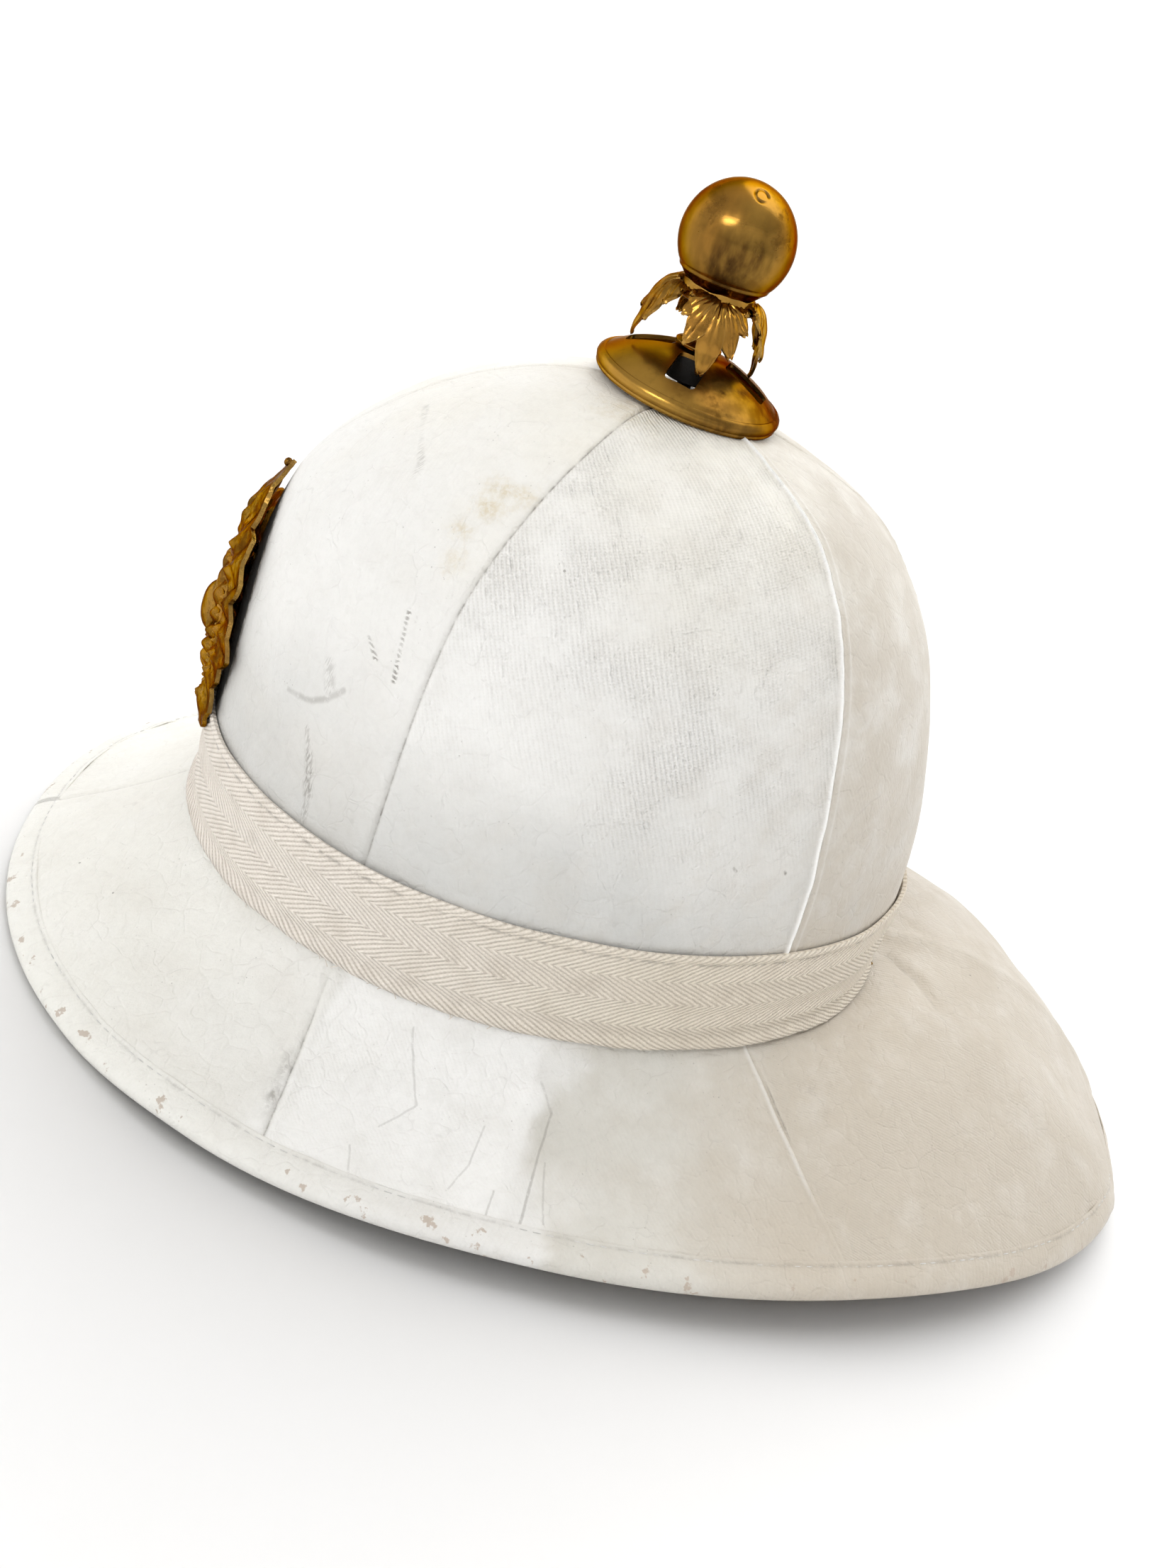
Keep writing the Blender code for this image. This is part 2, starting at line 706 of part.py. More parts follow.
def plate_outline(ray):
    """Reach of the star's edge along one of its lines, tips and valleys in turn."""
    share = ray / (2 * PLATE_RAYS)
    x = math.sin(math.tau * share)
    z = math.cos(math.tau * share)
    half_height = PLATE_REACH_UP if z > 0 else PLATE_REACH_DOWN
    oval = 1 / math.hypot(x / PLATE_HALF_WIDTH, z / half_height)
    from_point = abs((share * PLATE_LONG_RAYS + 0.5) % 1.0 - 0.5) * 2
    reach = oval * (1.0 - PLATE_POINT_DROP * from_point)
    if ray % 2:
        reach *= PLATE_VALLEY
    return x * reach, z * reach


def plate_point(across, up, relief):
    z = PLATE_CENTRE_Z + up
    for low, high in zip(PLATE_LINE, PLATE_LINE[1:]):
        if z <= high.z or high is PLATE_LINE[-1]:
            share = (z - low.z) / (high.z - low.z)
            y = low.y + (high.y - low.y) * share
            return Vector((across, y + across ** 2 / (2 * PLATE_BEND_ACROSS) - relief, z))


def plate_ring(share, relief, on_front):
    """One ring of the plate's face, round near the boss and rayed farther out."""
    points = []
    rayed = min(1.0, max(0.0, (share - RAYS_FROM_SHARE) / (1 - RAYS_FROM_SHARE)))
    for ray in range(2 * PLATE_RAYS):
        x, z = plate_outline(ray)
        turn = math.tau * ray / (2 * PLATE_RAYS)
        even = share * PLATE_HALF_WIDTH * (1 - rayed)
        x = x * share * rayed + even * math.sin(turn)
        z = z * share * rayed + even * math.cos(turn)
        in_valley = ray % 2 and share > RAYS_FROM_SHARE
        lift = PLATE_THICKNESS + relief * (VALLEY_RELIEF if in_valley else 1.0)
        points.append(plate_point(x, z, lift if on_front else 0.0))
    return points


def build_front_plate():
    mesh_data = bmesh.new()
    lines = 2 * PLATE_RAYS
    edges = []
    for on_front in (True, False):
        top = PLATE_RINGS[0]
        rows = PLATE_RINGS[1:] if on_front else [PLATE_RINGS[i] for i in PLATE_BACK_RINGS]
        height = PLATE_THICKNESS + top.relief if on_front else 0.0
        centre = mesh_data.verts.new(plate_point(0.0, 0.0, height))
        rings = []
        for row in rows:
            points = plate_ring(row.share, row.relief, on_front)
            rings.append([mesh_data.verts.new(point) for point in points])
        for ray in range(lines):
            after = (ray + 1) % lines
            mesh_data.faces.new((centre, rings[0][ray], rings[0][after]))
            for near, far in zip(rings, rings[1:]):
                mesh_data.faces.new((near[ray], far[ray], far[after], near[after]))
        edges.append(rings[-1])
    for ray in range(lines):
        after = (ray + 1) % lines
        mesh_data.faces.new((edges[0][ray], edges[1][ray], edges[1][after], edges[0][after]))
    bmesh.ops.recalc_face_normals(mesh_data, faces=mesh_data.faces)
    plate = add_object("front_plate", mesh_data, BRASS)
    for i, height in enumerate(PLATE_LUG_HEIGHTS):
        face = plate_point(0.0, height - PLATE_CENTRE_Z, PLATE_THICKNESS * 0.5)
        lug = add_cutter(f"lug_blank_{i + 1}", plate_lug(face, height))
        boolean(plate, lug, "UNION")
    knob = add_cutter("knob_blank", plate_knob())
    knob.location = plate_point(0.0, PLATE_REACH_UP * PLATE_KNOB_SHARE, PLATE_THICKNESS * 0.4)
    boolean(plate, knob, "UNION")
    return plate


def plate_knob():
    """Small ball, with no vertex on the plate's faces."""
    mesh_data = bmesh.new()
    bmesh.ops.create_icosphere(mesh_data, subdivisions=1, radius=PLATE_KNOB_RADIUS)
    return mesh_data


def front_cloth_y(height):
    """Front of the crown's cloth at one height, between its rings."""
    points = [crown_ring_point(ring, 0.0) for ring in CROWN_RINGS]
    for high, low in zip(points, points[1:]):
        if low.z <= height <= high.z:
            share = (height - low.z) / (high.z - low.z)
            return low.y + (high.y - low.y) * share
    return points[-1].y


def plate_lug(face, height):
    depth = front_cloth_y(height - PLATE_LUG_RADIUS) - GAP - face.y
    stations = []
    for y in (face.y, face.y + depth):
        ring = []
        for i in range(PLATE_LUG_SIDES):
            turn = math.tau * i / PLATE_LUG_SIDES
            ring.append((PLATE_LUG_RADIUS * math.cos(turn), y, height + PLATE_LUG_RADIUS * math.sin(turn)))
        stations.append(ring)
    return loft(stations, closed_round=False)


def build_helmet():
    clear_scene()
    build_pith()
    build_panels()
    build_hat_band()
    build_rim_binding()
    build_vent_dome(dome_placement())
    placement = stem_placement()
    build_leaf_cup(placement)
    build_finial_ball(placement)
    build_finial_screw(placement)
    build_front_plate()


build_helmet()
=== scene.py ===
"""White cloth-covered sun helmet: cloth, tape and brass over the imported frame, in a plain studio."""
import math

import bpy
import numpy as np
from bpy.props import FloatProperty, FloatVectorProperty, IntProperty, PointerProperty
from mathutils import Matrix, Vector


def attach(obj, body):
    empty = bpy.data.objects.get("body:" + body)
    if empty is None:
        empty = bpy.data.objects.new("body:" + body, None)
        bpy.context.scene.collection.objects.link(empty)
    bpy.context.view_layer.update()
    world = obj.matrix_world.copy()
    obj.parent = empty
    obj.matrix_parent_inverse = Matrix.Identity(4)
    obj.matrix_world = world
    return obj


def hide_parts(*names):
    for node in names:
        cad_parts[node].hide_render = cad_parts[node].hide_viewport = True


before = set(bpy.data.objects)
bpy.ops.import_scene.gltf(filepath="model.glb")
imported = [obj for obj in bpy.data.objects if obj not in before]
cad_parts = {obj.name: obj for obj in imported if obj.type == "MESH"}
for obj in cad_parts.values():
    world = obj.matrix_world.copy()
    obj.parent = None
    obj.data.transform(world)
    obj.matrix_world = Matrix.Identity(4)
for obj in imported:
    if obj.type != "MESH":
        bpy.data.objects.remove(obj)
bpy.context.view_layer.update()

bl_info = {
    "name": "Sun Helmet",
    "version": (1, 0, 0),
    "blender": (4, 5, 0),
    "location": "View3D > Sidebar > Helmet",
    "description": "Dresses the frame of a white sun helmet in cloth, tape and brass",
    "category": "Object",
}

# Clearance between pieces and the thickness of each sheet, as in the solids
GAP = 0.0003
CLOTH = 0.0010
TAPE = 0.0012
CROWN_PITH = 0.0037
BRIM_PITH = 0.0030
RIM_PITH = 0.0024

AXIS_Y = -0.040
SEAM_AZIMUTHS = (0, 62, 126, 180, 234, 298, 360)

# Rings of the crown's cloth: height, slope, reach to the front, rear and side
CROWN_RINGS = np.array((
    (0.1860, 0.0000, 0.0140, 0.0140, 0.0140),
    (0.1853, 0.0000, 0.0280, 0.0285, 0.0275),
    (0.1810, 0.0000, 0.0420, 0.0450, 0.0415),
    (0.1740, 0.0000, 0.0560, 0.0625, 0.0540),
    (0.1638, 0.0000, 0.0700, 0.0760, 0.0655),
    (0.1514, 0.0020, 0.0830, 0.0870, 0.0750),
    (0.1368, 0.0050, 0.0925, 0.0955, 0.0820),
    (0.1154, 0.0120, 0.0978, 0.1043, 0.0880),
    (0.0934, 0.0250, 0.0992, 0.1110, 0.0910),
    (0.0704, 0.0456, 0.0995, 0.1150, 0.0918),
    (0.0544, 0.0456, 0.0995, 0.1160, 0.0920),
    (0.0401, 0.0456, 0.0985, 0.1160, 0.0918),
    (0.0386, 0.0456, 0.0985, 0.1160, 0.0919),
))
BAND_TOP = 9
CROWN_FOOT = 11
CREASE = 12

RIM_WIDEST_Y = -0.0207
RIM_FRONT = 0.1653
RIM_REAR = 0.2067
RIM_SIDE = 0.1404
RIM_ROUNDNESS = 2.15
RIM_TURNS = np.array((0, 24, 42, 60, 90, 120, 150, 168, 180))
RIM_HEIGHTS = np.array((0.0028, 0.0030, 0.0040, 0.0066, 0.0110, 0.0141, 0.0093, 0.0016, 0.0015))
BULGE_FRONT = -0.001
BULGE_SIDE = -0.010
BULGE_REAR = 0.0175
BRIM_SPREAD = 9.5
BRIM_SWEEP = -4.5
CREASE_MARGIN = 0.0015
BINDING_WIDTH = 0.0095
BRIM_SAMPLES = 32

# Brass finial, in its own upright frames from the foot of its dome
FINIAL_SEAT = (-0.0005, AXIS_Y, 0.1879)
FINIAL_LEAN = 4.0
DOME_LEAN_BACK = 1.8
STEM_LEAN_FORWARD = 0.9
STEM_OFFSET_FORWARD = 0.0018
DOME_HEIGHT = 0.0122
HUB_HEIGHT = 0.0112
SLOT_COUNT = 4
SLOT_AZIMUTH = -17.0
SLOT_WIDTH = 0.0086
SLOT_INNER = 0.0075
SLOT_OUTER = 0.0202
SLOT_CORNER = 0.0013
SLOT_CUT = 0.03
BALL_RADIUS = 0.0153
BALL_HEIGHT = 0.0401

# Leaves under the ball: reach and height from the collar down
LEAF_ROWS = np.array((
    (0.0088, 0.0264), (0.0113, 0.0252), (0.0131, 0.0231), (0.0144, 0.0204),
    (0.0153, 0.0178), (0.0157, 0.0150), (0.0158, 0.0124), (0.0154, 0.0100),
))
LEAF_BENDS = (0.0003, 0.0022, 0.0008, 0.0)

PLATE_CENTRE_Z = 0.0870
PLATE_REACH_UP = 0.0490
PLATE_REACH_DOWN = 0.0400
PLATE_HALF_WIDTH = 0.0340
PLATE_BEND_ACROSS = 0.080
PLATE_THICKNESS = 0.0012
PLATE_RAYS = 20
PLATE_LONG_RAYS = 8
PLATE_POINT_DROP = 0.15
PLATE_VALLEY = 0.94
PLATE_LUG_RADIUS = 0.0020
# Lugs behind the plate: height, and the ring of the crown at that height
PLATE_LUGS = ((0.078, 8.0), (0.108, 7.3))
PLATE_KNOB_SHARE = 0.97
PLATE_KNOB_LEAN = 70
PLATE_LINE_Z = (0.0380, 0.0600, 0.0780, 0.0960, 0.1120, 0.1260, 0.1420)
PLATE_LINE_Y = (-0.1406, -0.1415, -0.1422, -0.1424, -0.1424, -0.1386, -0.1313)

# Camera of the photograph, in the helmet's frame
CAMERA_PLACE = (0.3970, -0.1011, 0.2711)
CAMERA_RIGHT = (0.0092, 0.9439, 0.3301)
CAMERA_DOWN = (0.4822, 0.2850, -0.8284)
CAMERA_LENS = 33.72
CAMERA_SENSOR = 36.0


# ---------------------------------------------------------------- surfaces

def unit(vectors):
    return vectors / np.linalg.norm(vectors, axis=-1, keepdims=True)


def run_along(points):
    """Distance along each row of points from its first."""
    steps = np.linalg.norm(np.diff(points, axis=-2), axis=-1)
    return np.concatenate((np.zeros((*steps.shape[:-1], 1)), np.cumsum(steps, -1)), -1)


def through(table, place):
    """Smooth curve through the rows of a table, at fractional row numbers."""
    place = np.clip(place, 0.0, len(table) - 1.0)
    low = np.minimum(place.astype(int), len(table) - 2)
    f = (place - low)[..., None]
    padded = np.vstack((2 * table[0] - table[1], table, 2 * table[-1] - table[-2]))
    a, b, c, d = (padded[low + k] for k in range(4))
    return b + 0.5 * f * (c - a + f * (2 * a - 5 * b + 4 * c - d + f * (3 * (b - c) + d - a)))


def crown_point(azimuth, ring):
    ring = np.broadcast_to(ring, azimuth.shape)
    height, slope, front, rear, side = np.moveaxis(through(CROWN_RINGS, ring), -1, 0)
    forward = np.cos(azimuth)
    x = side * np.sin(azimuth)
    y = AXIS_Y - np.where(forward > 0, front, rear) * forward
    return np.stack((x, y, height + slope * (y - AXIS_Y)), -1)


def rim_point(azimuth):
    swept = azimuth + np.radians(BRIM_SPREAD * np.sin(2 * azimuth) + BRIM_SWEEP * np.sin(azimuth))
    forward = np.cos(swept)
    sideways = np.sin(swept)
    power = 2 / RIM_ROUNDNESS
    length = np.where(forward > 0, RIM_FRONT, RIM_REAR)
    x = RIM_SIDE * np.sign(sideways) * np.abs(sideways) ** power
    y = RIM_WIDEST_Y - length * np.sign(forward) * np.abs(forward) ** power
    turn = np.degrees(np.arccos(np.clip(forward, -1, 1)))
    low = np.clip(np.searchsorted(RIM_TURNS, turn) - 1, 0, len(RIM_TURNS) - 2)
    share = (turn - RIM_TURNS[low]) / (RIM_TURNS[low + 1] - RIM_TURNS[low])
    ease = share * share * (3 - 2 * share)
    return np.stack((x, y, RIM_HEIGHTS[low] + (RIM_HEIGHTS[low + 1] - RIM_HEIGHTS[low]) * ease), -1)


def brim_ends(azimuth):
    """Crease, control and rim points of the brim's line of slope."""
    crease = crown_point(azimuth, float(CREASE))
    rim = rim_point(azimuth)
    forward = np.cos(azimuth)
    frontness = np.maximum(forward, 0) ** 2
    rearness = np.maximum(-forward, 0) ** 2
    bulge = BULGE_FRONT * frontness + BULGE_REAR * rearness + BULGE_SIDE * (1 - frontness - rearness)
    chord = unit(rim - crease)
    across = np.cross(chord, (0.0, 0.0, 1.0))
    upward = unit(np.cross(across, chord))
    return crease, (crease + rim) / 2 + upward * (bulge * 2)[..., None], rim


def bezier(ends, t):
    a, b, c = ends
    t = t[..., None]
    return (1 - t) ** 2 * a + 2 * t * (1 - t) * b + t * t * c


def brim_share(azimuth, from_crease=None, from_rim=None):
    """Curve parameter at a distance along the slope, from the crease or back from the rim."""
    turns, back = np.unique(np.round(azimuth, 9), return_inverse=True)
    steps = np.linspace(0, 1, BRIM_SAMPLES + 1)
    ends = [np.repeat(e[:, None], len(steps), 1) for e in brim_ends(turns)]
    line = bezier(ends, np.broadcast_to(steps, (len(turns), len(steps))))
    lengths = run_along(line)
    back = back.reshape(azimuth.shape)
    away = np.broadcast_to(from_crease if from_rim is None else from_rim, azimuth.shape)
    found = np.empty(azimuth.shape)
    for i in range(len(turns)):
        here = back == i
        want = away[here] if from_rim is None else lengths[i, -1] - away[here]
        found[here] = np.interp(want, lengths[i], steps)
    return found


def brim_point(azimuth, t):
    return bezier(brim_ends(azimuth), np.broadcast_to(t, azimuth.shape))


def lifted(point, azimuth, place, lift, step=1e-3):
    """Points of a surface moved along its outward normal."""
    along = point(azimuth + step, place) - point(azimuth - step, place)
    down = point(azimuth, place + step) - point(azimuth, np.maximum(place - step, 0.0))
    return point(azimuth, place) + unit(np.cross(down, along)) * np.asarray(lift)[..., None]


def ripple(points, wavelength, seed):
    """Smooth irregular waves from -1 to 1 over points, the same at every run."""
    source = np.random.RandomState(seed)
    total = 0.0
    for _ in range(7):
        way = unit(source.normal(size=3)) * math.tau / (wavelength * source.uniform(0.7, 1.6))
        total = total + np.sin(points @ way + source.uniform(0, math.tau))
    return total / 4.5


def bump(distance, width):
    return np.exp(-(distance / width) ** 2)


def eased(value, low, high):
    share = np.clip((value - low) / (high - low), 0, 1)
    return share * share * (3 - 2 * share)


def line_distance(points, line):
    """Distance of points from a line of points, both in plan, and how far along it they are."""
    flat = points[..., :2]
    best = np.full(flat.shape[:-1], 1.0)
    along = np.zeros(flat.shape[:-1])
    line = np.asarray(line)
    for i, (a, b) in enumerate(zip(line[:-1], line[1:])):
        step = b - a
        share = np.clip(((flat - a) @ step) / (step @ step), 0, 1)
        found = np.linalg.norm(flat - a - share[..., None] * step, axis=-1)
        nearer = found < best
        best = np.where(nearer, found, best)
        along = np.where(nearer, (i + share) / (len(line) - 1), along)
    return best, along


# ---------------------------------------------------------------- meshes

def only(*items):
    """Selects these objects alone and makes the first active."""
    bpy.ops.object.select_all(action="DESELECT")
    for item in items:
        item.select_set(True)
    bpy.context.view_layer.objects.active = items[0]


def added(operator, **settings):
    """The object that one of Blender's own primitives makes."""
    bpy.ops.object.select_all(action="DESELECT")
    operator(**settings)
    return bpy.context.active_object


def linked(name, data):
    item = bpy.data.objects.new(name, data)
    bpy.context.scene.collection.objects.link(item)
    return item


def edited(item, *steps):
    """Runs steps in edit mode with everything of one object selected."""
    only(item)
    bpy.ops.object.mode_set(mode="EDIT")
    bpy.ops.mesh.select_all(action="SELECT")
    for step in steps:
        step()
    bpy.ops.object.mode_set(mode="OBJECT")


def weld():
    bpy.ops.mesh.remove_doubles(threshold=1e-6)


def outwards():
    bpy.ops.mesh.normals_make_consistent(inside=False)


def read_points(item):
    found = np.empty(len(item.data.vertices) * 3)
    item.data.vertices.foreach_get("co", found)
    return found.reshape(-1, 3)


def write_points(item, points):
    item.data.vertices.foreach_set("co", np.ascontiguousarray(points, float).ravel())
    item.data.update()


def write_uv(item, uv):
    layer = item.data.uv_layers.active
    layer.name = "cloth"
    corners = np.empty(len(item.data.loops), int)
    item.data.loops.foreach_get("vertex_index", corners)
    layer.data.foreach_set("uv", np.ascontiguousarray(uv.reshape(-1, 2)[corners], float).ravel())


def write_value(item, name, values):
    layer = item.data.attributes.new(name, "FLOAT", "POINT")
    layer.data.foreach_set("value", np.ascontiguousarray(values, float).ravel())


def applied(item, kind, **settings):
    only(item)
    change = item.modifiers.new(kind.lower(), kind)
    for name, value in settings.items():
        setattr(change, name, value)
    bpy.ops.object.modifier_apply(modifier=change.name)


def new_grid(name, points, uv=None, values=None, closed=False):
    """Grid primitive laid over points, whose rows run upwards and columns to the viewer's right."""
    rows, columns = points.shape[:2]
    item = added(
        bpy.ops.mesh.primitive_grid_add, x_subdivisions=columns - 1, y_subdivisions=rows - 1, size=1.0)
    item.name = item.data.name = name
    write_points(item, points.reshape(-1, 3))
    if uv is not None:
        write_uv(item, uv)
    for key, value in (values or {}).items():
        write_value(item, key, value)
    if closed:
        edited(item, weld)
    return item


def new_ring(name, points, uv=None, values=None):
    """Closed ring of stations round the helmet, each a closed section."""
    def wrapped(grid):
        grid = np.concatenate((grid, grid[:1]), 0)
        return np.concatenate((grid, grid[:, :1]), 1)
    values = {key: wrapped(value) for key, value in (values or {}).items()}
    item = new_grid(name, wrapped(points), None if uv is None else wrapped(uv), values, closed=True)
    edited(item, outwards)
    return item


def spun(name, profile, steps, closed=True):
    """Profile of (radius, height) drawn in edit mode and spun about Z."""
    mesh = bpy.data.meshes.new(name)
    count = len(profile)
    edges = [(i, (i + 1) % count) for i in range(count if closed else count - 1)]
    mesh.from_pydata([(r, 0.0, z) for r, z in profile], edges, [])
    item = linked(name, mesh)

    def spin():
        bpy.ops.mesh.spin(steps=steps, angle=math.tau, center=(0, 0, 0), axis=(0, 0, 1))
    edited(item, spin, weld, outwards)
    return item


def joined(items, name):
    only(*items)
    bpy.ops.object.join()
    items[0].name = items[0].data.name = name
    return items[0]


def copies(item, placements, name):
    """Copies of one object at several placements, joined into one piece."""
    made = []
    for placement in placements:
        copy = linked(name, item.data.copy())
        copy.data.transform(placement)
        made.append(copy)
    bpy.data.objects.remove(item, do_unlink=True)
    return joined(made, name)


def finished(item, material, nodes=(), smooth=50.0):
    """Shades a piece, gives it its material and hangs it on the helmet."""
    only(item)
    bpy.ops.object.shade_smooth_by_angle(angle=math.radians(smooth))
    item.data.materials.clear()
    item.data.materials.append(material)
    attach(item, "root")
    if nodes:
        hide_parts(*nodes)


# ---------------------------------------------------------------- materials

class Shader:
    """Short calls for one material's nodes, with its colours and reliefs laid on in turn."""

    def __init__(self, name):
        self.material = bpy.data.materials.new(name)
        self.material.use_nodes = True
        self.tree = self.material.node_tree
        self.surface = self.tree.nodes["Principled BSDF"]
        self.place = self.node("ShaderNodeTexCoord").outputs["Object"]
        self.colour = None
        self.normal = None

    def node(self, kind, inputs=None, **settings):
        made = self.tree.nodes.new(kind)
        for name, value in settings.items():
            setattr(made, name, value)
        for name, value in (inputs or {}).items():
            self.feed(made.inputs[name], value)
        return made

    def feed(self, socket, value):
        if isinstance(value, bpy.types.NodeSocket):
            self.tree.links.new(value, socket)
        elif value is not None:
            socket.default_value = value

    def math(self, operation, *values, clamp=False):
        made = self.node("ShaderNodeMath", operation=operation, use_clamp=clamp)
        for socket, value in zip(made.inputs, values):
            self.feed(socket, value)
        return made.outputs[0]

    def scaled(self, value, by, plus):
        return self.math("MULTIPLY_ADD", value, by, plus)

    def times(self, *values):
        total = values[0]
        for value in values[1:]:
            total = self.math("MULTIPLY", total, value)
        return total

    def wave(self, way, pitch):
        """Ribs from 0 to 1 at a pitch along a way."""
        return self.scaled(self.math("SINE", self.times(way, math.tau / pitch)), 0.5, 0.5)

    def noise(self, size, detail=2.0, roughness=0.5, place=None, seed=0.0):
        place = place or self.place
        if seed:
            place = self.vector("ADD", place, (seed * size * 40,) * 3)
        inputs = {"Vector": place, "Scale": 1 / size, "Detail": detail, "Roughness": roughness}
        return self.node("ShaderNodeTexNoise", inputs).outputs["Fac"]

    def cells(self, size, feature="F1", place=None):
        inputs = {"Vector": place or self.place, "Scale": 1 / size}
        return self.node("ShaderNodeTexVoronoi", inputs, feature=feature).outputs["Distance"]

    def between(self, value, low, high, to_low=0.0, to_high=1.0):
        """Smooth step of a value between two limits."""
        inputs = {"Value": value, "From Min": low, "From Max": high, "To Min": to_low, "To Max": to_high}
        return self.node("ShaderNodeMapRange", inputs, interpolation_type="SMOOTHSTEP").outputs[0]

    def mix(self, share, a, b):
        made = self.node("ShaderNodeMix", data_type="RGBA")
        self.feed(made.inputs[0], share)
        for socket, value in ((made.inputs[6], a), (made.inputs[7], b)):
            self.feed(socket, value if isinstance(value, bpy.types.NodeSocket) else (*value, 1.0))
        return made.outputs[2]

    def over(self, tint, *share):
        """Lays a tint over the colour so far."""
        self.colour = self.mix(self.times(*share), self.colour, tint)

    def relief(self, height, distance, strength=1.0):
        """Adds a relief to the surface so far."""
        inputs = {"Height": height, "Distance": distance, "Strength": strength, "Normal": self.normal}
        self.normal = self.node("ShaderNodeBump", inputs).outputs["Normal"]

    def parts(self, vector):
        return self.node("ShaderNodeSeparateXYZ", {"Vector": vector}).outputs

    def value(self, name):
        return self.node("ShaderNodeAttribute", attribute_name=name).outputs["Fac"]

    def stretched(self, scale, turn=(0.0, 0.0, 0.0)):
        inputs = {"Vector": self.place, "Rotation": turn, "Scale": scale}
        return self.node("ShaderNodeMapping", inputs).outputs[0]

    def vector(self, operation, *values):
        made = self.node("ShaderNodeVectorMath", operation=operation)
        for socket, value in zip(made.inputs, values):
            self.feed(socket, value)
        return made.outputs["Value" if operation in ("DOT_PRODUCT", "DISTANCE") else "Vector"]

    def near(self, centre, radius, rough):
        """1 at a point and 0 beyond a radius from it, with an edge made ragged by a noise."""
        apart = self.vector("DISTANCE", self.place, centre)
        return self.between(self.scaled(rough, radius * 1.6, apart), radius * 1.7, radius * 0.6)

    def stroke(self, start, end, width, place):
        """1 on the line between two points and 0 beyond a width from it."""
        step = end - start
        away = self.vector("SUBTRACT", place, start)
        reach = self.vector("DOT_PRODUCT", away, step)
        share = self.math("DIVIDE", reach, step.length_squared, clamp=True)
        scale = {"Vector": step, "Scale": share}
        along = self.node("ShaderNodeVectorMath", scale, operation="SCALE").outputs[0]
        return self.between(self.vector("DISTANCE", away, along), width, width * 0.3)

    def strokes(self, marks, place, broken):
        """Weight of the dirt in a list of marks, each line whole or broken into a hatch."""
        total = None
        for hatch, points, sizes in marks:
            points = [Vector((*point, 0.0)[:3]) for point in points]
            for start, end, (width, weight) in zip(points, points[1:], sizes):
                mark = self.times(self.stroke(start, end, width, place), weight, broken[hatch])
                total = self.math("MAXIMUM", total, mark) if total else mark
        return total

    def finish(self, roughness, **fixed):
        self.feed(self.surface.inputs["Base Color"], self.colour)
        self.feed(self.surface.inputs["Roughness"], roughness)
        self.feed(self.surface.inputs["Normal"], self.normal)
        for name, value in fixed.items():
            self.surface.inputs[name.replace("_", " ")].default_value = value
        return self.material


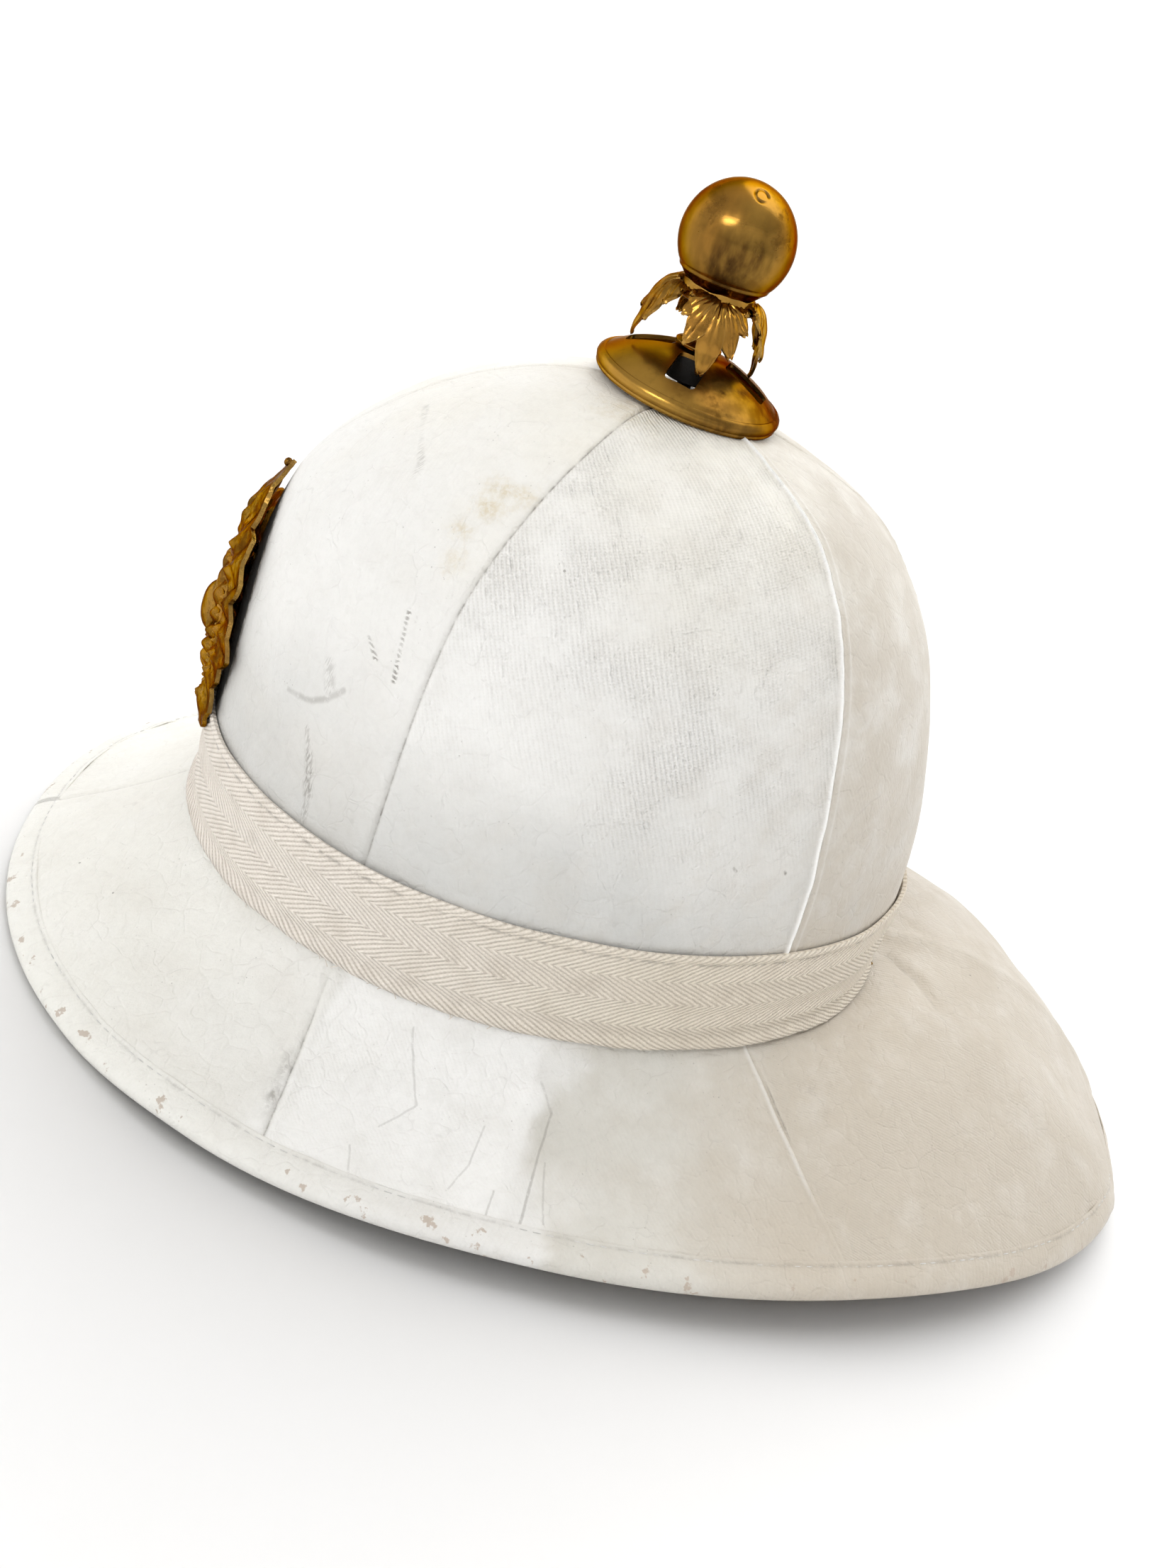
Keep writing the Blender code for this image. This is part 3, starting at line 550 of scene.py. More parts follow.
def painted_cloth(name, look, sizes, marks=(), chips=0.0):
    """Whitened twill: filled ribs, cream, cool and aged zones, grime, cracks and specks, and painted shade
    low on the crown, on the brim's rear half, under the dome and behind the front plate.
    """
    s = Shader(name)
    x, y, z = s.parts(s.place)[:3]
    across, down = s.parts(s.node("ShaderNodeUVMap", uv_map="cloth").outputs["UV"])[:2]
    lean = math.radians(sizes.rib_lean)
    wander = s.times(s.math("SUBTRACT", s.noise(0.012), 0.5), sizes.rib_pitch * 0.9)
    rib_way = s.scaled(across, math.cos(lean), wander)
    rib = s.wave(s.scaled(down, -math.sin(lean), rib_way), sizes.rib_pitch)
    weave_way = s.scaled(across, math.sin(lean), s.times(down, math.cos(lean)))
    weave = s.wave(weave_way, sizes.rib_pitch * 0.62)
    worn = s.between(s.noise(0.017, 4.0, 0.6), 0.34, 0.60, 0.30, 1.0)
    bare = s.times(s.value("bare"), worn)
    fine = s.noise(0.0011, 3.0, 0.6, seed=12.0)
    between_ribs = s.between(rib, 0.50, 0.05)
    groove = s.times(between_ribs, bare, s.between(s.math("ADD", weave, fine), 0.55, 1.05, 0.25, 1.0))

    on_brim = s.between(z, 0.058, 0.050)
    cloud = s.noise(0.035, 4.0, 0.55)
    high = s.scaled(cloud, 0.060, z)
    s.colour = s.mix(s.between(high, 0.160, 0.235), look.white, look.cream)
    # Darker, cooler cloth low on the crown: partly the cloth's tint, partly painted shade
    s.over(look.low_crown, s.between(high, 0.158, 0.088), s.math("SUBTRACT", 1.0, on_brim))
    forward = s.scaled(cloud, 0.060, y)
    s.over(look.pale_brim, on_brim, s.between(forward, 0.0, -0.120))
    # Painted shade: the brim greyer over its rear half
    s.over(look.shaded_brim, on_brim, s.between(forward, 0.004, 0.016))
    s.over(look.aged, s.between(forward, 0.045, 0.125), s.between(z, 0.185, 0.085, 0.25, 1.0))
    s.over(look.aged, on_brim, s.between(forward, 0.030, 0.085))
    mottle = s.between(s.noise(0.011, 4.0, 0.6, seed=6.0), 0.42, 0.72)
    s.over(look.aged, mottle, s.between(forward, -0.10, 0.12, 0.06, 0.30))
    s.over(look.fresh, s.between(s.noise(0.019, 5.0, 0.65, seed=9.0), 0.48, 0.70), 0.14)
    tone = s.value("tone")
    mottled = s.between(s.noise(0.013, 5.0, 0.6, seed=14.0), 0.25, 0.60, 0.45, 1.0)
    s.over(look.aged, s.between(tone, 0.0, 1.0), mottled)
    s.over(look.fresh, s.between(tone, 0.0, -1.0), mottled)
    if marks in (FRONT_MARKS, SIDE_MARKS):
        thready = s.between(s.noise(0.0016, 4.0, 0.7, seed=13.0), 0.36, 0.62, 0.25, 1.0)
        rough = s.noise(0.0040, 4.0, 0.65, seed=19.0)
        for centre, radius, weight in CROWN_STAINS:
            s.over(look.stain, s.near(centre, radius, rough), thready, weight)
    s.over(look.groove, groove, 0.34)

    pits = s.between(s.noise(0.014, 2.0, seed=3.0), 0.52, 0.64)
    pits = s.times(s.between(s.cells(0.0016), 0.16, 0.08), pits, s.math("SUBTRACT", 1.0, rib))
    s.over(look.grime_and_shade, pits, 0.38)
    s.over(look.grime_and_shade, s.between(s.noise(0.0026, 5.0, 0.7, seed=18.0), 0.42, 0.68), 0.040)
    s.over(look.grime_and_shade, s.between(s.cells(0.019), 0.024, 0.014), 0.6)
    shake = s.node("ShaderNodeTexNoise", {"Vector": s.place, "Scale": 90.0}).outputs["Color"]
    bent = s.vector("MULTIPLY_ADD", shake, (0.014,) * 3, s.place)
    edge = s.cells(0.0075, "DISTANCE_TO_EDGE", bent)
    where = s.between(s.noise(0.010, 3.0, seed=8.0), 0.58, 0.66)
    s.over(look.grime_and_shade, s.between(edge, 0.030, 0.004), where, 0.10)
    dirt_and_shade = s.value("grime_and_shade")
    s.over(look.fresh, s.between(dirt_and_shade, -0.05, -1.0))
    if marks:
        shake = {"Vector": s.place, "Scale": 260.0, "Detail": 3.0}
        shaken = s.node("ShaderNodeTexNoise", shake).outputs["Color"]
        moved = s.vector("SUBTRACT", s.place, (0.0003,) * 3)
        place = s.vector("MULTIPLY_ADD", shaken, (0.0006,) * 3, moved)
        stretched = s.node("ShaderNodeCombineXYZ", {"X": across, "Y": s.times(down, 0.16)}).outputs[0]
        hatch = s.between(s.noise(0.0004, 2.0, 0.5, stretched, 15.0), 0.40, 0.60)
        dash = s.math("SINE", s.scaled(down, math.tau / DASH_PITCH, s.times(fine, 9.0)))
        dash = s.between(dash, -0.2, 0.4)
        whole = s.between(s.noise(0.0018, 4.0, 0.7, seed=16.0), 0.26, 0.48)
        if marks is BRIM_MARKS:
            place = s.vector("MULTIPLY", place, (1.0, 1.0, 0.0))
        s.over(look.grime_and_shade, s.strokes(marks, place, (whole, hatch, dash)))
    grime_and_shade = s.math("MINIMUM", s.math("MAXIMUM", dirt_and_shade, 0.0), 1.0)
    broken = s.between(s.noise(0.0022, 4.0, 0.65), 0.36, 0.60)
    s.over(look.grime_and_shade, grime_and_shade, s.scaled(broken, 0.75, 0.25))
    if chips:
        ragged = s.scaled(s.noise(0.0030, 4.0, 0.6, seed=4.0), -0.008, down)
        chipped = s.between(s.noise(0.0055, 4.0, 0.6, seed=7.0), 0.60, 0.64)
        s.over(look.chipped, chipped, s.between(ragged, 0.0000, -0.0006), chips)
    # Painted shade: near-black where the value passes 1.2, round the vent hole and behind the front plate
    s.over(look.shade_black, s.between(dirt_and_shade, 1.2, 1.8))

    s.relief(s.noise(0.0060, 4.0, 0.55), 0.00050, 0.60)
    s.relief(s.noise(0.0019, 4.0, 0.65, seed=1.0), 0.00034, 0.9)
    s.relief(s.times(s.scaled(weave, 0.30, rib), bare), sizes.rib_pitch * 0.24)
    s.relief(s.noise(0.0006, 2.0), 0.00010, 0.8)
    s.relief(s.between(edge, 0.09, 0.0), -0.00012, 0.8)
    roughness = s.between(s.noise(0.020, 2.0, seed=5.0), 0.35, 0.7, 0.45, 0.70)
    roughness = s.scaled(s.between(tone, 0.0, -1.0), -0.12, roughness)
    return s.finish(roughness, Sheen_Weight=0.10, Sheen_Roughness=0.5)


# Pitch of the stitch holes in the dashed marks
DASH_PITCH = 0.0013

# Stains on the crown: place, radius and weight
CROWN_STAINS = (
    ((0.0593, -0.0884, 0.1528), 0.006, 0.55),
    ((0.0562, -0.0834, 0.1590), 0.007, 0.70),
    ((0.0554, -0.0770, 0.1638), 0.006, 0.65),
    ((0.0528, -0.0830, 0.1627), 0.007, 0.40),
    ((0.0641, -0.0879, 0.1464), 0.006, 0.40),
    ((0.0254, -0.0554, 0.1846), 0.016, 0.42),
)

# Ways a mark is broken up
WHOLE, HATCHED, DASHED = range(3)

# Marks on the front gore: way broken, points, and the width and weight of the dirt between them
FRONT_MARKS = (
    (HATCHED, ((0.0645, -0.1098, 0.0915), (0.0665, -0.1076, 0.0860), (0.0678, -0.1062, 0.0812),
               (0.0689, -0.1050, 0.0757), (0.0697, -0.1043, 0.0683)),
     ((0.0014, 0.36), (0.0022, 0.56), (0.0023, 0.60), (0.0016, 0.40))),
    (WHOLE, ((0.0563, -0.1170, 0.0965), (0.0598, -0.1137, 0.0974), (0.0631, -0.1104, 0.0989),
             (0.0660, -0.1070, 0.1021), (0.0681, -0.1038, 0.1065)),
     ((0.0012, 0.30), (0.0013, 0.36), (0.0014, 0.36), (0.0013, 0.28))),
    (HATCHED, ((0.0631, -0.1087, 0.1098), (0.0653, -0.1068, 0.1046)), ((0.0028, 0.30),)),
    (DASHED, ((0.0678, -0.0941, 0.1318), (0.0734, -0.0928, 0.1158)), ((0.0012, 0.95),)),
    (DASHED, ((0.0688, -0.0920, 0.1320), (0.0738, -0.0905, 0.1180)), ((0.0010, 0.85),)),
    (DASHED, ((0.0661, -0.1013, 0.1214), (0.0695, -0.0985, 0.1179)), ((0.0011, 0.70),)),
    (HATCHED, ((0.0160, -0.1048, 0.1659), (0.0401, -0.1017, 0.1585), (0.0480, -0.1020, 0.1480)),
     ((0.0016, 0.30), (0.0018, 0.24))),
)

# Marks on the side gore
SIDE_MARKS = (
    (WHOLE, ((0.0835, 0.0012, 0.0985), (0.0835, 0.0022, 0.0978)), ((0.0008, 0.96),)),
    (WHOLE, ((0.0776, 0.0158, 0.0986), (0.0776, 0.0164, 0.0980)), ((0.0008, 0.96),)),
)

# Lines pressed into the brim, in plan, and the marks on it
FOLD_LINE = ((0.0990, -0.0262), (0.1030, -0.0215), (0.1166, -0.0232), (0.1344, -0.0255))
REAR_LINE = ((0.0130, 0.0833), (0.0232, 0.0910), (0.0368, 0.0946))
BRIM_MARKS = (
    (WHOLE, FOLD_LINE, ((0.0006, 0.21), (0.0005, 0.33), (0.0006, 0.36))),
    (WHOLE, ((0.1130, -0.0205), (0.1290, -0.0190)), ((0.0004, 0.24),)),
    (WHOLE, ((0.1250, -0.0330), (0.1344, -0.0345)), ((0.0004, 0.30),)),
    (WHOLE, ((0.1090, -0.0380), (0.1180, -0.0400), (0.1250, -0.0440)), ((0.0004, 0.24), (0.0004, 0.21))),
    (WHOLE, ((0.0930, -0.0620), (0.1060, -0.0560), (0.1120, -0.0640)), ((0.0004, 0.24), (0.0004, 0.21))),
    (WHOLE, ((0.1180, -0.0700), (0.1260, -0.0690)), ((0.0004, 0.21),)),
    (HATCHED, REAR_LINE, ((0.0009, 0.15), (0.0009, 0.15))),
)


def tape_cloth(look, sizes):
    """Herringbone tape of twisted ribs in rows along its length, whitened towards the front."""
    s = Shader("herringbone_tape")
    x, y, z = s.parts(s.place)[:3]
    along, across = s.parts(s.node("ShaderNodeUVMap", uv_map="cloth").outputs["UV"])[:2]
    lean = math.radians(sizes.tape_lean)
    wobble = s.scaled(s.noise(0.006), 0.0007, -0.00035)
    zigzag = s.math("PINGPONG", s.math("ADD", across, wobble), sizes.tape_width / sizes.tape_rows)
    way = s.scaled(zigzag, math.cos(lean), s.times(along, math.sin(lean)))
    rib = s.wave(way, sizes.tape_pitch)
    twist_way = s.scaled(zigzag, -math.sin(lean), s.times(along, math.cos(lean)))
    twist = s.math("SINE", s.scaled(way, 2400.0, s.times(twist_way, math.tau / 0.0011)))
    twist = s.scaled(twist, 0.5, 0.5)
    body = s.math("POWER", rib, 0.6)
    height = s.scaled(s.times(twist, body), 0.35, body)
    white = s.between(s.scaled(s.noise(0.03, 3.0), 0.05, y), 0.045, -0.075)
    s.colour = s.mix(white, look.tape, look.tape_white)
    s.over(look.tape_dark, s.between(s.noise(0.007, 4.0), 0.45, 0.75), 0.16)
    s.over(look.tape_dark, s.between(rib, 0.26, 0.02), s.scaled(twist, -0.5, 0.95), 0.50)
    # Grime colour by the grime value: dirt, and painted shade along the tape's lower edge
    s.over(look.grime_and_shade, s.value("grime_and_shade"), s.between(s.noise(0.0022, 3.0), 0.42, 0.60))
    s.relief(s.noise(0.0030, 3.0), 0.0003, 0.4)
    s.relief(height, 0.00038)
    s.relief(s.noise(0.00035, 2.0), 0.00006, 0.7)
    return s.finish(0.82, Sheen_Weight=0.2, Sheen_Roughness=0.5)


def dimmed(colour, share):
    return [c * share for c in colour]


def pressed_pith(look):
    """Pressed pith in thin sheets: pale brown, fibrous and matt."""
    s = Shader("pressed_pith")
    fibre = s.noise(0.0022, 5.0, 0.65, s.stretched((1.0, 1.0, 0.25)))
    s.colour = s.mix(s.between(fibre, 0.3, 0.7), look.pith, dimmed(look.pith, 0.72))
    s.over(dimmed(look.pith, 0.6), s.between(s.noise(0.03, 4.0), 0.45, 0.7), 0.5)
    edge = s.between(s.cells(0.035, "DISTANCE_TO_EDGE"), 0.03, 0.0)
    s.over(dimmed(look.pith, 0.45), edge, 0.35)
    s.relief(fibre, 0.0005, 0.7)
    s.relief(edge, -0.0006, 0.8)
    return s.finish(0.88)


def old_brass(name, look, rough=0.30, dull=0.35, dark=0.0, beaten=0.0):
    """Polished brass gone golden brown, with tarnish in patches and hollows, lighter sharp edges that are
    partly a painted glint, and painted shade and reflection where a dark value is painted on the dome and
    ball.
    """
    s = Shader(name)
    fine = s.noise(0.0018, 4.0, 0.6, seed=2.0)
    patch = s.scaled(fine, 0.4, s.noise(0.010, 5.0, 0.6))
    tarnish_and_shade = s.between(patch, 0.85 - dull, 1.12 - dull * 0.6)
    warm = s.between(s.noise(0.022, 2.0, seed=4.0), 0.35, 0.65)
    s.colour = s.mix(warm, look.brass, look.brass_orange)
    s.over(look.tarnish_and_shade, tarnish_and_shade, 0.75)
    hollow = s.node("ShaderNodeNewGeometry").outputs["Pointiness"]
    s.over(look.tarnish_and_shade, s.between(hollow, 0.49, 0.42), 0.8)
    # Lighter on sharp edges: rubbed brass, and partly a painted glint
    s.over(look.brass_bright, s.between(hollow, 0.53, 0.62), 0.25)
    tall = s.stretched((1.0, 1.0, 0.35))
    streaks = s.between(s.noise(0.0042, 4.0, 0.55, tall), 0.30, 0.65, 0.6, 1.0)
    # Darker in streaks by the dark value: an even tone on the leaves, plate and pins, painted shade and
    # painted reflection on the dome and ball
    s.over(look.tarnish_and_shade, streaks, s.value("dark") if dark == "painted" else dark)
    scratch = s.stretched((1.0, 0.06, 1.0), (0.4, 0.7, 0.2))
    s.relief(s.noise(0.0004, 2.0, 0.5, scratch), 0.00003, 0.35)
    s.relief(s.noise(0.0060, 3.0), 0.00016, 0.30)
    if beaten:
        s.relief(s.noise(0.0024, 3.0, seed=5.0), beaten, 0.8)
    roughness = s.between(tarnish_and_shade, 0.0, 1.0, rough, rough + 0.28)
    return s.finish(roughness, Metallic=1.0, Specular_Tint=(*look.brass_rim, 1.0))


def plain_thread(name, colour):
    s = Shader(name)
    s.colour = s.mix(s.noise(0.0015, 3.0), colour, dimmed(colour, 0.6))
    s.relief(s.noise(0.0004, 2.0), 0.0001, 0.8)
    return s.finish(0.8)


# ---------------------------------------------------------------- sizes and colours

def metres(label, text, value, low, high):
    return FloatProperty(
        name=label, description=text, default=value, min=low, max=high,
        subtype="DISTANCE", unit="LENGTH", precision=5)


def degrees(label, text, value, low, high):
    return FloatProperty(
        name=label, description=f"{text}, in degrees", default=value, min=low, max=high)


class HELMET_PG_sizes(bpy.types.PropertyGroup):
    """Sizes of the cloth's and the tape's detail"""

    rib_pitch: metres("Rib Pitch", "Distance between the twill's ribs", 0.00120, 0.0005, 0.005)
    rib_lean: degrees("Rib Lean", "Lean of the ribs from a panel's middle line", 24, -60, 60)
    seam_depth: metres("Seam Depth", "Depth of the valley along a plain seam", 0.0006, 0.0, 0.002)
    welt_height: metres("Welt Height", "Height of the cord along a lapped seam", 0.0009, 0.0, 0.002)
    tape_width: metres("Tape Width", "Width of the tape round the crown's foot", 0.0310, 0.01, 0.05)
    tape_rows: IntProperty(
        name="Tape Rows", description="Rows of slanting ribs across the tape", default=4, min=1, max=12)
    tape_pitch: metres("Tape Rib Pitch", "Distance between the tape's ribs", 0.00115, 0.0005, 0.004)
    tape_lean: degrees("Tape Rib Lean", "Angle of the tape's ribs to its length", 28, 5, 80)
    stitch_pitch: metres(
        "Stitch Pitch", "Distance between stitches in the rim's binding", 0.0036, 0.001, 0.010)


def tint(label, text, value):
    return FloatVectorProperty(
        name=label, description=text, default=value, size=3, min=0.0, max=1.0, subtype="COLOR")


class HELMET_PG_colours(bpy.types.PropertyGroup):
    """Colours of the helmet's materials"""

    white: tint("White", "Whitened cloth in the middle of the crown", (0.80, 0.79, 0.76))
    cream: tint("Cream", "Whitened cloth at the top of the crown", (0.82, 0.785, 0.69))
    # Partly the cloth's cooler tint, partly painted shade low on the crown
    low_crown: tint("Low Crown", "Cooler cloth low on the crown", (0.605, 0.605, 0.585))
    pale_brim: tint("Pale Brim", "Thick white paint at the brim's front and side", (0.87, 0.86, 0.805))
    # Painted shade on the brim's rear half
    shaded_brim: tint("Shaded Brim", "Greyer paint behind the fold in the brim", (0.66, 0.64, 0.585))
    aged: tint("Aged", "Aged cloth at the rear", (0.55, 0.49, 0.405))
    fresh: tint("Fresh Paint", "Thick paint on cords and in patches", (0.93, 0.925, 0.905))
    chipped: tint("Chipped Paint", "Cloth bared by chips along the rim", (0.46, 0.36, 0.28))
    stain: tint("Stain", "Brown stains on the crown", (0.60, 0.49, 0.28))
    groove: tint("Rib Groove", "Cloth between the ribs", (0.48, 0.45, 0.38))
    # Grime colour, also laid as painted shade along the tape's lower edge
    grime_and_shade: tint("Grime", "Dirt in seams, cracks and specks", (0.17, 0.15, 0.125))
    # Painted shade: near-black for the vent hole, the screw under the dome and the cloth behind the front
    # plate
    shade_black: tint("Under the Dome", "Sooty cloth round the vent hole", (0.012, 0.010, 0.008))
    tape: tint("Tape", "Tape at the side and rear", (0.84, 0.755, 0.625))
    tape_white: tint("Whitened Tape", "Tape at the front", (0.93, 0.86, 0.77))
    tape_dark: tint("Tape Groove", "Dirt between the tape's ribs", (0.40, 0.32, 0.23))
    pith: tint("Pith", "Pressed pith inside the helmet", (0.62, 0.50, 0.36))
    brass: tint("Brass", "Polished old brass", (0.50, 0.280, 0.054))
    brass_orange: tint("Warm Brass", "Warmer patches of the brass", (0.46, 0.225, 0.040))
    # Bright brass on sharp edges is partly a painted glint
    brass_bright: tint("Bright Brass", "Rubbed edges of the brass", (0.85, 0.58, 0.20))
    brass_rim: tint("Brass at a Glance", "Tint of the brass seen along its surface", (0.30, 0.21, 0.11))
    # Tarnish colour, also laid as painted shade on the dome's rear half and as painted reflection on the
    # ball
    tarnish_and_shade: tint("Tarnish", "Brown tarnish on the brass", (0.060, 0.029, 0.008))


class Step:
    """Builds one group of pieces from the scene's sizes and colours."""

    def execute(self, context):
        self.build(context.scene.helmet_sizes, context.scene.helmet_colours)
        return {"FINISHED"}


# ---------------------------------------------------------------- cloth

def clustered(count, pull=0.78):
    """Places from 0 to 1 that crowd together at both ends."""
    even = np.linspace(0, 1, count)
    return even - pull * np.sin(math.tau * even) / math.tau


# Kind of each seam round the crown and the brim, from the front by the wearer's left
CROWN_SEAMS = ("faint", "valley", "welt", "valley", "welt", "valley", "faint")
BRIM_SEAMS = ("faint", "crack", "line", "ridge", "line", "crack", "faint")


def seam_relief(kind, after, distance, down, sizes, points):
    """Lift and grime of the cloth beside a seam, on the side after it or before it."""
    wave = ripple(points, 0.009, 31)
    fine = ripple(points, 0.0045, 47)
    lift = np.zeros_like(distance)
    grime_and_shade = np.zeros_like(distance)

    def at(place, width):
        return bump(distance - place, width)

    if kind == "valley":
        lift -= sizes.seam_depth * at(0, 0.0006) * (1 + 0.30 * wave)
        lift += 0.00022 * at(0.0018, 0.0012) * (1 + 0.9 * fine)
        lift += 0.00018 * wave * at(0, 0.0060)
        grime_and_shade += at(0, 0.00026) * (0.62 + 0.38 * fine)
    elif kind == "welt":
        if after:
            lift += 0.00020 * (1 - eased(distance, 0.0030, 0.0042))
            lift += 0.00030 * at(0.0033, 0.0006)
            grime_and_shade += 0.55 * at(0.0011, 0.00028) * (0.7 + 0.3 * fine)
            grime_and_shade -= 0.35 * at(0.0033, 0.0006)
        lift += sizes.welt_height * at(0, 0.00060) * (1 + 0.15 * fine)
        lift += 0.00015 * wave * at(0, 0.007)
        grime_and_shade -= 0.95 * at(0, 0.00055)
    elif kind == "faint":
        lift -= 0.00030 * at(0, 0.0006)
        lift += 0.00020 * at(0.0022, 0.0012)
        grime_and_shade += 0.16 * at(0, 0.0004)
    elif kind == "crack":
        open_part = 0.35 + 0.65 * eased(down, 0.012, 0.022)
        lift -= 0.00055 * at(0, 0.0005) * open_part
        lift += 0.00040 * at(0.0018, 0.0014) * (1 + 0.5 * fine)
        lift += 0.0003 * wave * at(0, 0.008)
        grime_and_shade += 0.75 * at(0, 0.00026) * open_part * (0.75 + 0.25 * fine)
        if not after:
            smear = eased(down, 0.022, 0.030) * (1 - eased(down, 0.040, 0.048))
            grime_and_shade += 0.30 * smear * at(0.0020, 0.0022) * (1 + 0.8 * fine)
    elif kind == "line":
        part = eased(down, 0.018, 0.026) * (1 - eased(down, 0.040, 0.048))
        fades = 1 - 0.8 * eased(down, 0.036, 0.050)
        lift += 0.00045 * at(0.0006, 0.0009) * fades
        lift -= 0.00025 * at(0, 0.0003) * fades
        if after:
            grime_and_shade += 0.55 * at(0.0006, 0.00030) * part
        else:
            grime_and_shade -= 0.45 * at(0.0009, 0.0008) * (1 - eased(down, 0.030, 0.048))
    elif kind == "ridge":
        lift += 0.0009 * at(0, 0.0045)
        grime_and_shade += 0.10 * at(0, 0.0005)
    return lift, grime_and_shade


def cloth_panel(name, point, azimuths, places, kinds, lift, sizes, rib_share, age, spread=None):
    """One panel of cloth between two seams, from its foot up."""
    azimuth, place = np.meshgrid(azimuths, places[::-1])
    if spread is not None:
        place = spread(azimuth, place)
    base = lifted(point, azimuth, place, 0.0)
    run = run_along(base)
    width = run[:, -1:]
    middle = base[:, base.shape[1] // 2]
    down = np.repeat(run_along(middle[::-1])[::-1, None], len(azimuths), 1)
    first, dirt_and_shade = seam_relief(kinds[0], True, run, down, sizes, base)
    second, more = seam_relief(kinds[1], False, width - run, down, sizes, base)
    relief, extra_dirt_and_shade, tone = lift(base)
    points = lifted(point, azimuth, place, first + second + relief)
    values = {
        "grime_and_shade": np.clip(dirt_and_shade + more + extra_dirt_and_shade, -1, 2),
        "bare": rib_share * rib_strength(base),
        "tone": np.clip(tone + age, -1, 1),
    }
    item = new_grid(name, points, np.stack((run - width / 2, down), -1), values)
    applied(item, "SOLIDIFY", thickness=CLOTH, offset=-1.0, use_even_offset=False)
    return item


def lay_panels(part, point, columns, places, looks, lift, sizes, materials, spread=None):
    """Six panels of cloth, from the front by the wearer's left."""
    seams, ribs, ages = looks
    for panel, material in enumerate(materials):
        start, end = (math.radians(a) for a in SEAM_AZIMUTHS[panel:panel + 2])
        item = cloth_panel(
            f"{part}_cloth_{panel + 1}", point, start + (end - start) * clustered(columns), places,
            seams[panel:panel + 2], lift, sizes, ribs[panel], ages[panel], spread)
        finished(item, material, [f"{part}_panel_{panel + 1}"])


# How strongly the ribs show on each panel of the crown and the brim, and how aged each panel is
CROWN_RIBS = (0.13, 1.00, 0.14, 0.20, 0.70, 0.20)
CROWN_AGES = (0.20, 0.0, 0.42, 0.42, 0.10, 0.20)
BRIM_RIBS = (0.08, 0.14, 0.26, 0.26, 0.20, 0.08)
BRIM_AGES = (0.10, 0.0, 0.10, 0.12, 0.0, 0.10)


def rib_strength(points):
    """Ribs fade where paint fills them: low on the crown and in patches."""
    high = points[..., 2] + 0.012 * ripple(points, 0.050, 15)
    crown = 0.16 + 0.84 * eased(high, 0.085, 0.128)
    filled = (1 - eased(points[..., 1], -0.080, -0.015)) * (1 - eased(points[..., 2], 0.120, 0.150))
    crown *= 1 - 0.65 * filled
    return np.where(points[..., 2] < 0.050, 1.0, crown) * (0.85 + 0.15 * ripple(points, 0.020, 16))


CROWN_COLUMNS = 85
CROWN_ROWS = 121
BRIM_COLUMNS = 97
BRIM_ROWS = 81

# Pressed lines in the brim: points in plan, height of the ridge and its width
BRIM_LINES = (
    (FOLD_LINE, -0.0005, 0.0010),
    (REAR_LINE, -0.0008, 0.0016),
    (((0.0100, 0.0875), (0.0215, 0.0955), (0.0360, 0.0990)), 0.0008, 0.0040),
)

# Fold at the side of the brim: its crest in plan, height, and width before and behind it
FOLD_X = (0.0966, 0.1017, 0.1156, 0.1344)
FOLD_Y = (-0.0290, -0.0262, -0.0275, -0.0290)
FOLD_HEIGHT = 0.0030
FOLD_BEFORE = 0.0120
FOLD_BEHIND = 0.0034

# Dark patch behind the front plate: its half-width, and its reach as a share of the plate's
PLATE_SHADE = 0.0295
PLATE_SHADE_UP = 0.92
PLATE_SHADE_DOWN = 0.86

# Radii between which the painted shade round the vent hole fades
DOME_SHADE_FADES = (0.0195, 0.0225)


def crown_lift(points):
    x, y, z = np.moveaxis(points, -1, 0)
    lift = 0.00030 * ripple(points, 0.040, 11) + 0.00012 * ripple(points, 0.014, 12)
    # Painted shade: near-black cloth round the vent hole, under the dome
    grime_and_shade = 2.0 * (1 - eased(np.hypot(x, y - AXIS_Y), *DOME_SHADE_FADES))
    above = z - PLATE_CENTRE_Z
    half_height = np.where(above > 0, PLATE_SHADE_UP * PLATE_REACH_UP, PLATE_SHADE_DOWN * PLATE_REACH_DOWN)
    from_plate = np.hypot(x / PLATE_SHADE, above / half_height)
    # Painted shadow: near-black cloth behind the front plate
    grime_and_shade += 2.0 * (1 - eased(from_plate, 0.86, 1.0)) * (y < AXIS_Y)
    tone = 0.05 * ripple(points, 0.030, 13)
    tone -= 0.48 * (1 - eased(y, -0.075, 0.0)) * eased(z, 0.085, 0.115)
    tone += 0.26 * eased(y, -0.030, 0.015)
    return lift, grime_and_shade, tone


